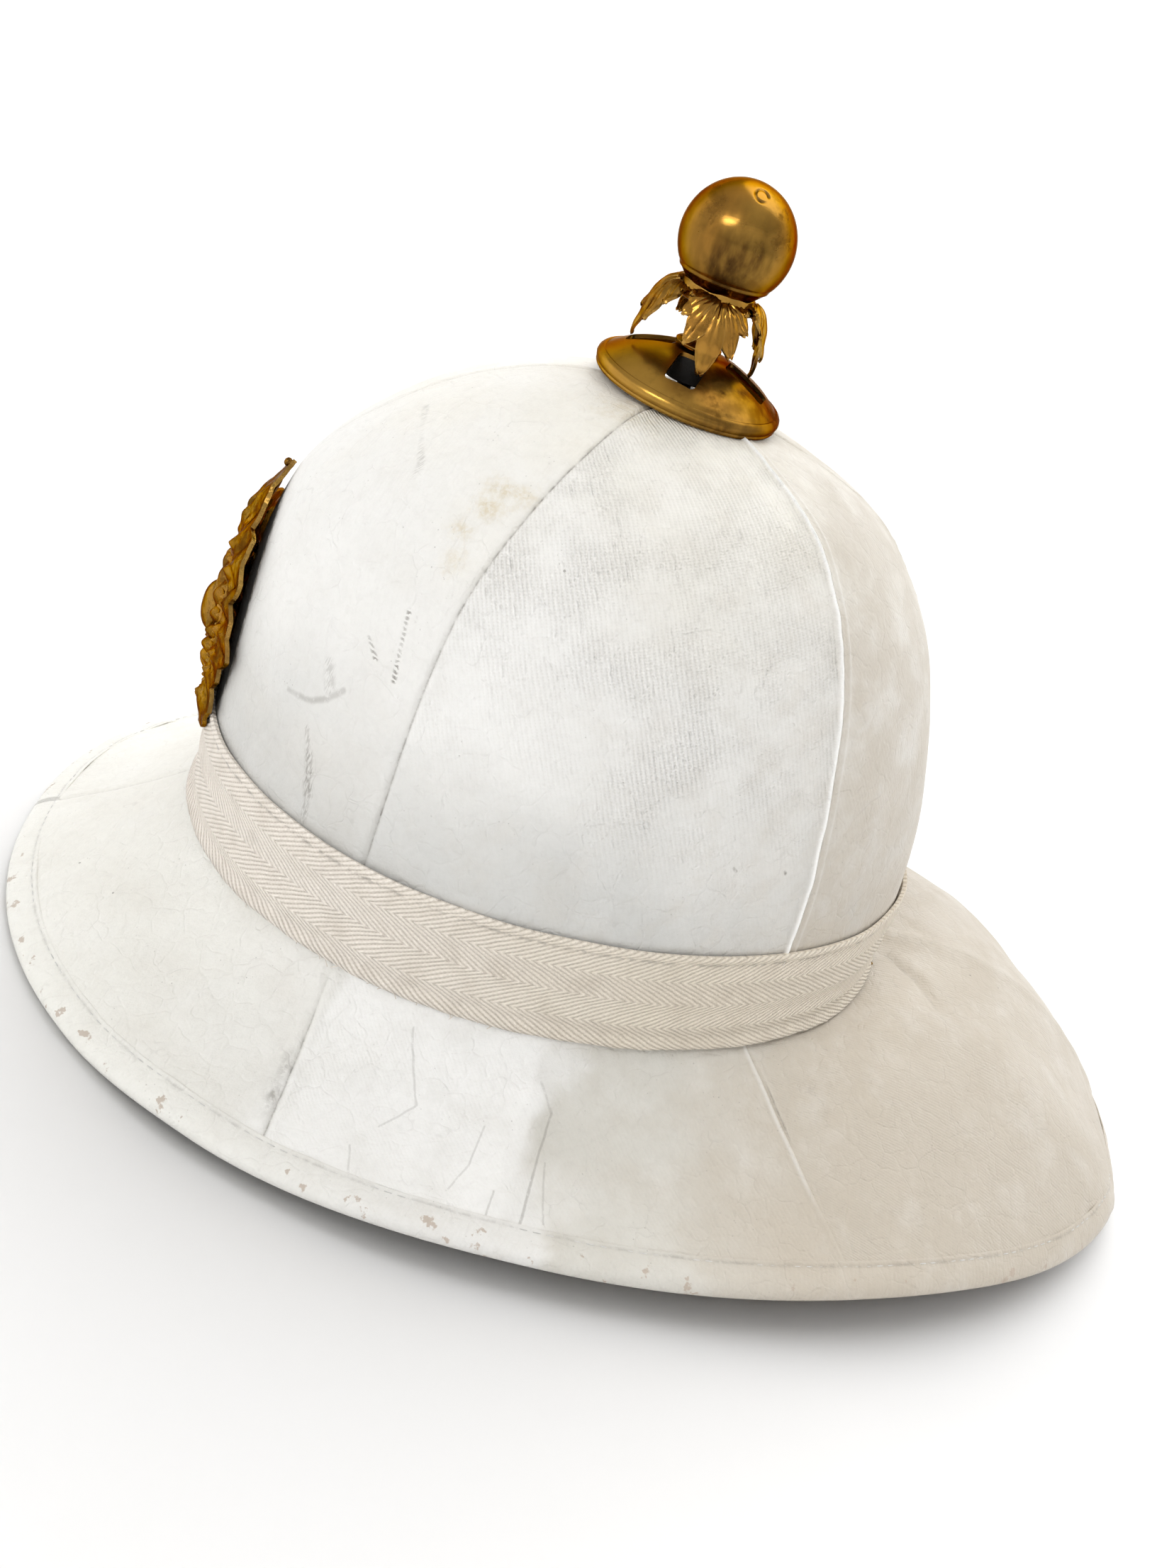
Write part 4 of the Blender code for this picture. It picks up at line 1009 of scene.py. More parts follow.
def brim_lift(points):
    x, y, z = np.moveaxis(points, -1, 0)
    lift = 0.00045 * ripple(points, 0.045, 21) + 0.00018 * ripple(points, 0.013, 22)
    for line, height, width in BRIM_LINES:
        apart, along = line_distance(points, line)
        lift += height * bump(apart, width) * np.sin(np.clip(along, 0.04, 0.96) * math.pi) ** 0.4
    behind = y - np.interp(x, FOLD_X, FOLD_Y)
    ends = eased(x, 0.094, 0.102) * (1 - eased(x, 0.124, 0.132))
    lift += FOLD_HEIGHT * bump(behind, np.where(behind > 0, FOLD_BEHIND, FOLD_BEFORE)) * ends
    beside = eased(np.abs(np.arctan2(x, AXIS_Y - y)) - math.radians(SEAM_AZIMUTHS[1]), 0.0, 0.05)
    ragged = behind + 0.0026 * ripple(points, 0.009, 24)
    painted = beside * (x > 0) * (1 - eased(ragged, -0.003, 0.005))
    beyond = eased(x, 0.104, 0.124) * (1 - eased(behind, 0.012, 0.026)) * (behind > -0.02)
    painted = np.maximum(0.70 * painted, 0.34 * beyond * beside)
    return lift, 0.0, 0.14 * ripple(points, 0.024, 23) - painted


def crown_places(count, last=CREASE):
    """Ring numbers evenly spaced down the side of the crown."""
    fine = np.linspace(0, last, 600)
    run = run_along(crown_point(np.full(fine.shape, math.pi / 2), fine))
    return np.interp(np.linspace(0, run[-1], count), run, fine)


class HELMET_OT_crown_cloth(Step, bpy.types.Operator):
    """Lays six gores of whitened twill over the crown"""

    bl_idname = "helmet.crown_cloth"
    bl_label = "Crown Cloth"

    def build(self, sizes, look):
        plain = painted_cloth("whitened_twill", look, sizes)
        front = painted_cloth("marked_twill_1", look, sizes, FRONT_MARKS)
        side = painted_cloth("marked_twill_2", look, sizes, SIDE_MARKS)
        looks = (CROWN_SEAMS, CROWN_RIBS, CROWN_AGES)
        lay_panels("crown", crown_point, CROWN_COLUMNS, crown_places(CROWN_ROWS), looks,
                   crown_lift, sizes, (front, side, plain, plain, plain, plain))


def brim_places(azimuth, share):
    """Curve parameter on the brim at a share of the way from the crease to the binding."""
    inner = brim_share(azimuth, from_crease=0.2 * CREASE_MARGIN)
    outer = brim_share(azimuth, from_rim=BINDING_WIDTH - 0.0001)
    return inner + (outer - inner) * share


class HELMET_OT_brim_cloth(Step, bpy.types.Operator):
    """Lays six panels of whitened twill over the brim"""

    bl_idname = "helmet.brim_cloth"
    bl_label = "Brim Cloth"

    def build(self, sizes, look):
        material = painted_cloth("whitened_brim_twill", look, sizes, BRIM_MARKS)
        looks = (BRIM_SEAMS, BRIM_RIBS, BRIM_AGES)
        lay_panels("brim", brim_point, BRIM_COLUMNS, np.linspace(0, 1, BRIM_ROWS), looks,
                   brim_lift, sizes, [material] * 6, brim_places)


BINDING_STATIONS = 480

# Line of stitches, in from the rim, and the depth down to which the cloth is on top
STITCH_LINE = 0.0080
BINDING_TOP = 0.0009

# Section of the binding: distance in from the rim, depth below the brim's surface
BINDING_SECTION = (
    (0.0094, 0.0002), (0.0095, -0.0001), (0.0093, -0.0003), (0.0087, -0.0003), (0.0080, -0.0001),
    (0.0073, -0.0002), (0.0062, -0.0003), (0.0048, -0.0003), (0.0034, -0.0002), (0.0022, 0.0000),
    (0.0012, 0.0004), (0.0005, 0.0010), (0.0001, 0.0018), (0.0000, 0.0027), (0.0003, 0.0036),
    (0.0009, 0.0043), (0.0018, 0.0048), (0.0032, 0.0050), (0.0060, 0.0050), (0.0092, 0.0050),
    (0.0095, 0.0047), (0.0094, 0.0043), (0.0070, 0.0040), (0.0040, 0.0040), (0.0024, 0.0040),
    (0.0021, 0.0034), (0.0021, 0.0018), (0.0024, 0.0012), (0.0040, 0.0010), (0.0070, 0.0010),
)


class HELMET_OT_binding(Step, bpy.types.Operator):
    """Turns a cloth edge over the rim and stitches it down"""

    bl_idname = "helmet.binding"
    bl_label = "Rim Binding"

    def build(self, sizes, look):
        turns = np.linspace(0, math.tau, BINDING_STATIONS, endpoint=False)
        section = np.array(BINDING_SECTION)
        azimuth = np.repeat(turns[:, None], len(section), 1)
        inward = np.broadcast_to(section[:, 0], azimuth.shape)
        place = brim_share(azimuth, from_rim=inward)
        rough = ripple(rim_point(azimuth), 0.012, 61)
        on_top = section[:, 1] < BINDING_TOP
        lift = -section[:, 1] + np.where(on_top, 0.00022 * rough, 0.0)
        points = lifted(brim_point, azimuth, np.minimum(place, 1 - 1e-3), lift)
        overhang = rim_point(azimuth) - brim_point(azimuth, 1 - 1e-3)
        points = points + overhang * (inward < 0.001)[..., None]
        points[..., 2] = np.maximum(points[..., 2], 0.0)
        run = run_along(rim_point(turns))
        uv = np.stack((np.repeat(run[:, None], len(section), 1), inward), -1)
        stitched = 0.22 * bump(inward - STITCH_LINE, 0.0005)
        grime_and_shade = (stitched + 0.12 * (section[:, 0] > 0.0094)) * on_top * (1 + rough)
        values = {"grime_and_shade": grime_and_shade, "bare": np.full(grime_and_shade.shape, 0.12)}
        item = new_ring("rim_binding_cloth", points, uv, values)
        material = painted_cloth("whitened_binding", look, sizes, chips=0.7)
        finished(item, material, ["rim_binding"])
        self.stitch(sizes, look, run[-1])

    def stitch(self, sizes, look, length):
        count = int(length / sizes.stitch_pitch)
        turns = np.linspace(0, math.tau, 4000)
        line = lifted(brim_point, turns, brim_share(turns, from_rim=STITCH_LINE), 0.00002)
        run = run_along(line)
        stitch = added(bpy.ops.mesh.primitive_uv_sphere_add, segments=6, ring_count=5, radius=1.0)
        stitch.data.transform(Matrix.Diagonal((sizes.stitch_pitch * 0.34, 0.00018, 0.00016, 1.0)))

        def at(distance):
            return Vector([np.interp(distance, run, line[:, k]) for k in range(3)])
        placements = []
        for i in range(count):
            distance = run[-1] * i / count
            way = at((distance + 0.001) % run[-1]) - at(distance)
            turn = way.to_track_quat("X", "Z").to_matrix().to_4x4()
            placements.append(Matrix.Translation(at(distance)) @ turn)
        item = copies(stitch, placements, "binding_stitches")
        finished(item, plain_thread("painted_thread", look.white), smooth=180.0)


# ---------------------------------------------------------------- pith

PITH_STATIONS = 240
PITH_CROWN_ROWS = 64
PITH_BRIM_ROWS = 44

# Where the pith stops: ring of the crown, distance in from the rim, and share of the brim where it thins
PITH_STOP = CREASE - 0.6
PITH_INSET = 0.0022
PITH_THINS = 0.93


class HELMET_OT_pith(Step, bpy.types.Operator):
    """Builds the pressed pith body that shows inside the helmet"""

    bl_idname = "helmet.pith"
    bl_label = "Pith Body"

    def build(self, sizes, look):
        turns = np.linspace(0, math.tau, PITH_STATIONS, endpoint=False)
        depth = CLOTH + GAP
        azimuth, rings = np.meshgrid(turns, crown_places(PITH_CROWN_ROWS, PITH_STOP), indexing="ij")
        turn, shares = np.meshgrid(turns, np.linspace(0.02, 1.0, PITH_BRIM_ROWS), indexing="ij")
        places = brim_share(turn, from_rim=PITH_INSET) * shares
        thickness = np.where(shares > PITH_THINS, RIM_PITH, BRIM_PITH)
        sides = []
        for lined in (0.0, 1.0):
            layers = 0.00025 * lined * ripple(crown_point(azimuth, rings), 0.022, 71)
            upper = lifted(crown_point, azimuth, rings, -depth - lined * CROWN_PITH - layers)
            lower = lifted(brim_point, turn, places, -depth - lined * thickness)
            sides.append(np.concatenate((upper, lower), 1))
        item = new_ring("pith_body", np.concatenate((sides[0], sides[1][:, ::-1]), 1))
        finished(item, pressed_pith(look), ["pith_dome", "pith_wall", "pith_brim"])


# ---------------------------------------------------------------- band

BAND_COLUMNS = 641
BAND_ROWS = 41

# Loose threads: thickness, and from where to where round the helmet and how many
FRAY_RADIUS = 0.00013
FRAYS = ((52, 92, 15), (-170, 170, 12))

# How far the tape's lower edge hangs below the crown's foot to meet the brim
BAND_DROP = 0.0003

# Pins through the tape and the brim: places from the photograph
PINS = ((0.0803, -0.0858, 0.0375), (0.0467, 0.0610, 0.0440), (0.0206, 0.0760, 0.0450))


class HELMET_OT_band(Step, bpy.types.Operator):
    """Wraps the herringbone tape round the foot of the crown"""

    bl_idname = "helmet.band"
    bl_label = "Tape Band"

    def build(self, sizes, look):
        turns = np.linspace(0, math.tau, BAND_COLUMNS)
        azimuth, down = np.meshgrid(turns, clustered(BAND_ROWS, 0.55)[::-1])
        ring = BAND_TOP + (CROWN_FOOT - BAND_TOP) * down
        base = crown_point(azimuth, ring)
        across = down * sizes.tape_width
        foot = eased(across, sizes.tape_width - 0.0050, sizes.tape_width)
        lift = GAP + TAPE + 0.0015 * foot + 0.00035 * ripple(base, 0.030, 81)
        lift += 0.00045 * bump(across - 0.0010, 0.0009) - 0.00030 * bump(across - 0.0024, 0.0005)
        lift += 0.00022 * np.cos(down * sizes.tape_rows * math.tau) * (across > 0.003)
        edge = bump(across - sizes.tape_width, 0.004) * 0.03 * ripple(base, 0.006, 82)
        points = lifted(crown_point, azimuth, ring + edge, lift)
        points[..., 2] -= BAND_DROP * foot
        uv = np.stack((run_along(base), sizes.tape_width - across), -1)
        # Darker along a groove near the tape's top edge, and painted shade along its lower edge where it
        # meets the brim
        grime_and_shade = 0.45 * bump(across - 0.0024, 0.0005) + 0.25 * bump(across - sizes.tape_width, 0.0006)
        item = new_grid("band_tape", points, uv, {"grime_and_shade": grime_and_shade}, closed=True)
        applied(item, "SOLIDIFY", thickness=TAPE, offset=-1.0, use_even_offset=False)
        finished(item, tape_cloth(look, sizes), ["hat_band"])
        self.fray(look)
        self.pins(look)

    def fray(self, look):
        """Loose threads along the tape's lower edge."""
        source = np.random.RandomState(5)
        curve = bpy.data.curves.new("band_frays", "CURVE")
        curve.dimensions = "3D"
        curve.bevel_depth = FRAY_RADIUS
        curve.bevel_resolution = 1
        turns = np.concatenate([source.uniform(*fray) for fray in FRAYS])
        for turn in np.radians(turns):
            root = lifted(crown_point, np.array([turn]), np.array([CROWN_FOOT - 0.05]), 0.0014)[0]
            outward = np.array((math.sin(turn), -math.cos(turn), 0.0))
            aside = np.array((math.cos(turn), math.sin(turn), 0.0))
            length = source.uniform(0.0018, 0.0034)
            slant = source.uniform(-0.7, 0.7)
            spline = curve.splines.new("POLY")
            spline.points.add(5)
            for k, knot in enumerate(spline.points):
                t = k / 5
                at = root + outward * length * 0.55 * t + aside * length * slant * t * t
                knot.co = (at[0], at[1], at[2] - length * (0.5 * t + 0.15 * t * t), 1.0)
        item = linked("band_frays", curve)
        only(item)
        bpy.ops.object.convert(target="MESH")
        thread = plain_thread("frayed_thread", look.tape_white)
        finished(bpy.context.active_object, thread, smooth=180.0)

    def pins(self, look):
        """Small dark pin heads at the tape's foot."""
        pin = added(bpy.ops.mesh.primitive_uv_sphere_add, segments=12, ring_count=8, radius=0.0008)
        pin.data.transform(Matrix.Diagonal((1.0, 1.0, 0.6, 1.0)))
        item = copies(pin, [Matrix.Translation(place) for place in PINS], "band_pins")
        finished(item, old_brass("dark_pins", look, 0.45, 0.8), smooth=180.0)


# ---------------------------------------------------------------- brass

def dome_placement():
    lean = Matrix.Rotation(math.radians(FINIAL_LEAN), 4, "Y")
    back = Matrix.Rotation(math.radians(-DOME_LEAN_BACK), 4, "X")
    return Matrix.Translation(FINIAL_SEAT) @ back @ lean


def stem_placement():
    """The stem's frame, turned and shifted at the dome's hub."""
    hub = dome_placement() @ Vector((0.0, -STEM_OFFSET_FORWARD, DOME_HEIGHT))
    lean = Matrix.Rotation(math.radians(FINIAL_LEAN), 4, "Y")
    forward = Matrix.Rotation(math.radians(STEM_LEAN_FORWARD), 4, "X")
    return Matrix.Translation(hub) @ forward @ lean @ Matrix.Translation((0.0, 0.0, -HUB_HEIGHT))


DOME_PROFILE = (
    (0.0042, 0.0122), (0.0062, 0.0121), (0.0082, 0.0117), (0.0100, 0.0112), (0.0120, 0.0106),
    (0.0140, 0.0099), (0.0160, 0.0091), (0.0182, 0.0082), (0.0202, 0.0072), (0.0218, 0.0062),
    (0.0231, 0.0053), (0.0240, 0.0047), (0.0244, 0.0043), (0.0247, 0.0041), (0.0252, 0.0042),
    (0.0258, 0.0038), (0.0263, 0.0031), (0.0265, 0.0022), (0.0263, 0.0014), (0.0260, 0.0010),
    (0.0261, 0.0005), (0.0258, 0.0000), (0.0248, 0.0000), (0.0243, 0.0004), (0.0240, 0.0016),
    (0.0238, 0.0030), (0.0228, 0.0042), (0.0212, 0.0054), (0.0190, 0.0066), (0.0160, 0.0080),
    (0.0130, 0.0092), (0.0100, 0.0102), (0.0070, 0.0109), (0.0042, 0.0112),
)


# Finial's screw: the nut under the crown, the round nut under the dome's hub and the post
CORE_PROFILE = (
    (0.0, -0.0121), (0.0186, -0.0121), (0.0190, -0.0117), (0.0190, -0.0105), (0.0186, -0.0101),
    (0.0020, -0.0101), (0.0020, 0.0030), (0.0066, 0.0030), (0.0072, 0.0034), (0.0072, 0.0088),
    (0.0069, 0.0100), (0.0060, 0.0105), (0.0020, 0.0105), (0.0020, 0.0288), (0.0, 0.0288),
)


class HELMET_OT_vent_dome(Step, bpy.types.Operator):
    """Spins the brass vent dome, cuts its four slots and stands the screw in it"""

    bl_idname = "helmet.vent_dome"
    bl_label = "Vent Dome"

    def build(self, sizes, look):
        dome = spun("vent_dome_brass", DOME_PROFILE, 128)
        middle = Matrix.Translation(((SLOT_INNER + SLOT_OUTER) / 2, 0, SLOT_CUT / 2))
        shape = Matrix.Diagonal((SLOT_OUTER - SLOT_INNER, SLOT_WIDTH, SLOT_CUT, 1.0))
        for i in range(SLOT_COUNT):
            cutter = added(bpy.ops.mesh.primitive_cube_add, size=1.0)
            cutter.data.transform(middle @ shape)
            applied(cutter, "BEVEL", width=SLOT_CORNER, segments=4, limit_method="ANGLE")
            azimuth = math.radians(SLOT_AZIMUTH + 360 / SLOT_COUNT * i)
            cutter.data.transform(Matrix.Rotation(azimuth, 4, "Z"))
            applied(dome, "BOOLEAN", object=cutter, operation="DIFFERENCE", solver="EXACT")
            bpy.data.objects.remove(cutter, do_unlink=True)
        dome.data.transform(dome_placement())
        # Painted shade: the dome darker over its rear half, over an even darker tone
        write_value(dome, "dark", 0.20 + 0.55 * eased(read_points(dome)[:, 1], -0.056, -0.032))
        finished(dome, old_brass("dome_brass", look, 0.28, 0.16, "painted"), ["vent_dome"], 35.0)
        core = spun("vent_core", CORE_PROFILE, 48, closed=False)
        core.data.transform(stem_placement())
        # Painted shade: the screw and its nuts inside the dome are coloured near-black
        finished(core, plain_thread("shade_black_brass", look.shade_black), ["finial_screw"], 35.0)


CUP_PROFILE = (
    (0.0023, 0.0118), (0.0062, 0.0118), (0.0064, 0.0121), (0.0064, 0.0126), (0.0060, 0.0129),
    (0.0048, 0.0132), (0.0038, 0.0138), (0.0034, 0.0150), (0.0033, 0.0175), (0.0034, 0.0205),
    (0.0038, 0.0222), (0.0050, 0.0231), (0.0070, 0.0236), (0.0090, 0.0238), (0.0104, 0.0241),
    (0.0111, 0.0245), (0.0113, 0.0249), (0.0110, 0.0255), (0.0105, 0.0262), (0.0101, 0.0269),
    (0.0099, 0.0276), (0.0097, 0.0281), (0.0094, 0.0281), (0.0090, 0.0276), (0.0084, 0.0270),
    (0.0070, 0.0262), (0.0045, 0.0252), (0.0023, 0.0246),
)


def leaf_point(across, place, lift):
    """Point on a leaf's curved face: across it in metres, down it in rows."""
    rows = through(LEAF_ROWS, place)
    ahead = through(LEAF_ROWS, place + 0.1)
    behind = through(LEAF_ROWS, place - 0.1)
    tangent = unit(ahead - behind)
    reach = rows[..., 0] - tangent[..., 1] * lift
    height = rows[..., 1] + tangent[..., 0] * lift
    turn = across / rows[..., 0]
    return np.stack((reach * np.cos(turn), reach * np.sin(turn), height), -1)


# Lobes of a leaf, from the upper pair to the tip: start down the leaf and across it,
# turn away from straight down in degrees, length and half-width
LEAF_LOBES = (
    (0.0002, 0.0024, 74.0, 0.0060, 0.0017),
    (0.0008, 0.0018, 50.0, 0.0094, 0.0023),
    (0.0014, 0.0010, 25.0, 0.0130, 0.0026),
    (0.0016, 0.0000, 0.0, 0.0172, 0.0030),
)
LEAF_SHEET = 0.0007


def leaf_piece(name, across, down, lift):
    """Sheet laid on a leaf's curved face, from metres across it and down it."""
    place = np.interp(down, run_along(LEAF_ROWS), np.arange(len(LEAF_ROWS)))
    item = new_grid(name, leaf_point(across, place, lift)[::-1])
    applied(item, "SOLIDIFY", thickness=LEAF_SHEET, offset=-1.0, use_even_offset=False)
    edited(item, outwards)
    return item


def new_leaf(name):
    """A blade with seven pointed lobes that hang and overlap, each with a raised vein."""
    share, side = np.meshgrid(np.linspace(0, 1, 25), np.linspace(-1, 1, 13), indexing="ij")
    width = np.interp(share, (0.0, 0.2, 0.5, 0.8, 1.0), (0.0044, 0.0042, 0.0026, 0.0016, 0.0005))
    vein = 0.0007 * bump(side * width, 0.0007)
    pieces = [leaf_piece(name, side * width, share * 0.0115, vein)]
    for level, (start, aside, turn, length, half) in enumerate(LEAF_LOBES):
        for hand in (-1, 1) if aside else (1,):
            share, side = np.meshgrid(np.linspace(0, 1, 37), np.linspace(-1, 1, 21), indexing="ij")
            way = math.radians(turn) * (1.10 - 0.28 * share)
            width = half * (0.04 + 0.96 * np.sin(math.pi * share ** 1.25) ** 0.8)
            width = np.where(share < 0.5, np.maximum(width, 0.45 * half), width)
            across = aside + length * share * np.sin(way) + side * width * np.cos(way)
            down = start + length * share * np.cos(way) - side * width * np.sin(way)
            away = np.abs(side)
            lift = 0.0009 * (1 - side ** 2) * np.sin(math.pi * share ** 0.8) ** 0.5
            lift += 0.0002 + 0.00042 * level
            lift -= 0.00046 * bump(side, 0.15) * (1 - 0.6 * share)
            lift += 0.00006 * np.sin(20 * share - 6 * away) * eased(away, 0.15, 0.40)
            lift += 0.00030 * eased(away, 0.78, 1.0) + 0.0012 * eased(share, 0.70, 1.0)
            pieces.append(leaf_piece(name, hand * across, np.clip(down, 0.0, 0.0190), lift))
    return joined(pieces, name)


class HELMET_OT_leaf_cup(Step, bpy.types.Operator):
    """Builds the collar, the stem and the four leaves under the ball"""

    bl_idname = "helmet.leaf_cup"
    bl_label = "Leaf Cup"

    def build(self, sizes, look):
        placement = stem_placement()
        cup = spun("collar_brass", CUP_PROFILE, 96)
        points = read_points(cup)
        turn = np.arctan2(points[:, 1], points[:, 0])
        radius = np.hypot(points[:, 0], points[:, 1])
        torn = 0.0002 * np.sin(turn * 5 + 0.6) + 0.0001 * np.sin(turn * 11 + 2.0)
        points[:, 2] += eased(points[:, 2], 0.0262, 0.0276) * (radius > 0.0088) * torn
        write_points(cup, points)
        cup.data.transform(placement)
        matt = old_brass("leaf_brass", look, 0.24, 0.20, 0.36)
        finished(cup, matt, ["leaf_cup"])
        reach, height = LEAF_ROWS[0]
        top = Matrix.Translation((reach, 0.0, height))
        places = []
        for i, bend in enumerate(LEAF_BENDS):
            turned = Matrix.Rotation(math.tau * i / len(LEAF_BENDS), 4, "Z")
            tilt = Matrix.Rotation(bend / (height - LEAF_ROWS[-1, 1]), 4, "Y")
            places.append(placement @ turned @ top @ tilt @ top.inverted())
        leaves = copies(new_leaf("leaf"), places, "leaves_brass")
        finished(leaves, matt, ["leaf_cup"], 60.0)


# Ways from the ball's centre to its shallow dent and to its curled dent, and the curl's size
SIDE_DENT = (0.75, -0.35, 0.55)
CURL_DENT = (0.475, 0.051, 0.864)
CURL_RADIUS = 0.0018
# Ways from the ball's centre to its dark patches: painted reflections of dark surroundings
DARK_REFLECTIONS = (
    (0.958, -0.215, -0.16), (0.86, -0.12, -0.50), (0.96, 0.24, 0.10),
    (-0.40, 0.85, 0.10), (-0.70, -0.60, 0.20),
)
BALL_SEGMENTS = 192
BALL_RINGS = 128


class HELMET_OT_ball(Step, bpy.types.Operator):
    """Shapes the brass ball and its foot"""

    bl_idname = "helmet.ball"
    bl_label = "Finial Ball"

    def build(self, sizes, look):
        sphere = bpy.ops.mesh.primitive_uv_sphere_add
        ball = added(sphere, segments=BALL_SEGMENTS, ring_count=BALL_RINGS, radius=BALL_RADIUS)
        ball.name = ball.data.name = "finial_ball_brass"
        points = read_points(ball)
        radius = np.linalg.norm(points, axis=1)
        way = points / radius[:, None]
        polar = np.degrees(np.arccos(way[:, 2]))

        def apart(centre):
            return np.linalg.norm(way - unit(np.array(centre)), axis=1)
        centre = unit(np.array(CURL_DENT))
        aside = unit(np.cross(centre, (0.0, 0.0, 1.0)))
        right = way @ aside * BALL_RADIUS
        up = way @ np.cross(aside, centre) * BALL_RADIUS
        turn = np.arctan2(up, right)
        open_side = eased(turn, -2.6, -1.2) * (1 + 0.35 * np.sin(3 * turn))
        ring = np.abs(np.hypot(right, up * 0.85) - CURL_RADIUS)
        curl = bump(ring, 0.00030) * open_side * (way @ centre > 0)
        radius = radius + 0.00018 * bump(polar - 128, 1.6) - 0.00012 * bump(polar - 124, 1.2)
        radius = radius - 0.00016 * bump(apart(SIDE_DENT), 0.18)
        radius = radius - 0.00032 * curl - 0.00025 * bump(np.hypot(right, up), CURL_RADIUS)
        write_points(ball, way * radius[:, None] + np.array((0.0, 0.0, BALL_HEIGHT)))
        ball.data.transform(stem_placement())
        # Darker overall, partly old brass and partly a painted reflection of dark surroundings; darker
        # along the curl and at the foot's band; the top lighter as painted light, and dark patches as
        # painted reflections
        dark = 0.56 + 0.6 * curl + 0.25 * eased(polar, 126, 128) - 0.45 * (1 - eased(polar, 20, 65))
        for patch in DARK_REFLECTIONS:
            dark += 0.46 * bump(apart(patch), 0.34)
        write_value(ball, "dark", np.clip(dark, 0, 1))
        brass = old_brass("ball_brass", look, 0.22, 0.14, "painted")
        finished(ball, brass, ["finial_ball"], 180.0)


def plate_y(z):
    return np.interp(z, PLATE_LINE_Z, PLATE_LINE_Y)


PLATE_COLUMNS = 401
PLATE_ROWS = 81
PLATE_LEAVES = 16


# Knob on the plate's top
KNOB_PROFILE = (
    (0.0, 0.0017), (0.0006, 0.0016), (0.0011, 0.0012), (0.0013, 0.0006), (0.0011, 0.0),
    (0.0008, -0.0004), (0.0010, -0.0008), (0.0012, -0.0011), (0.0, -0.0013),
)


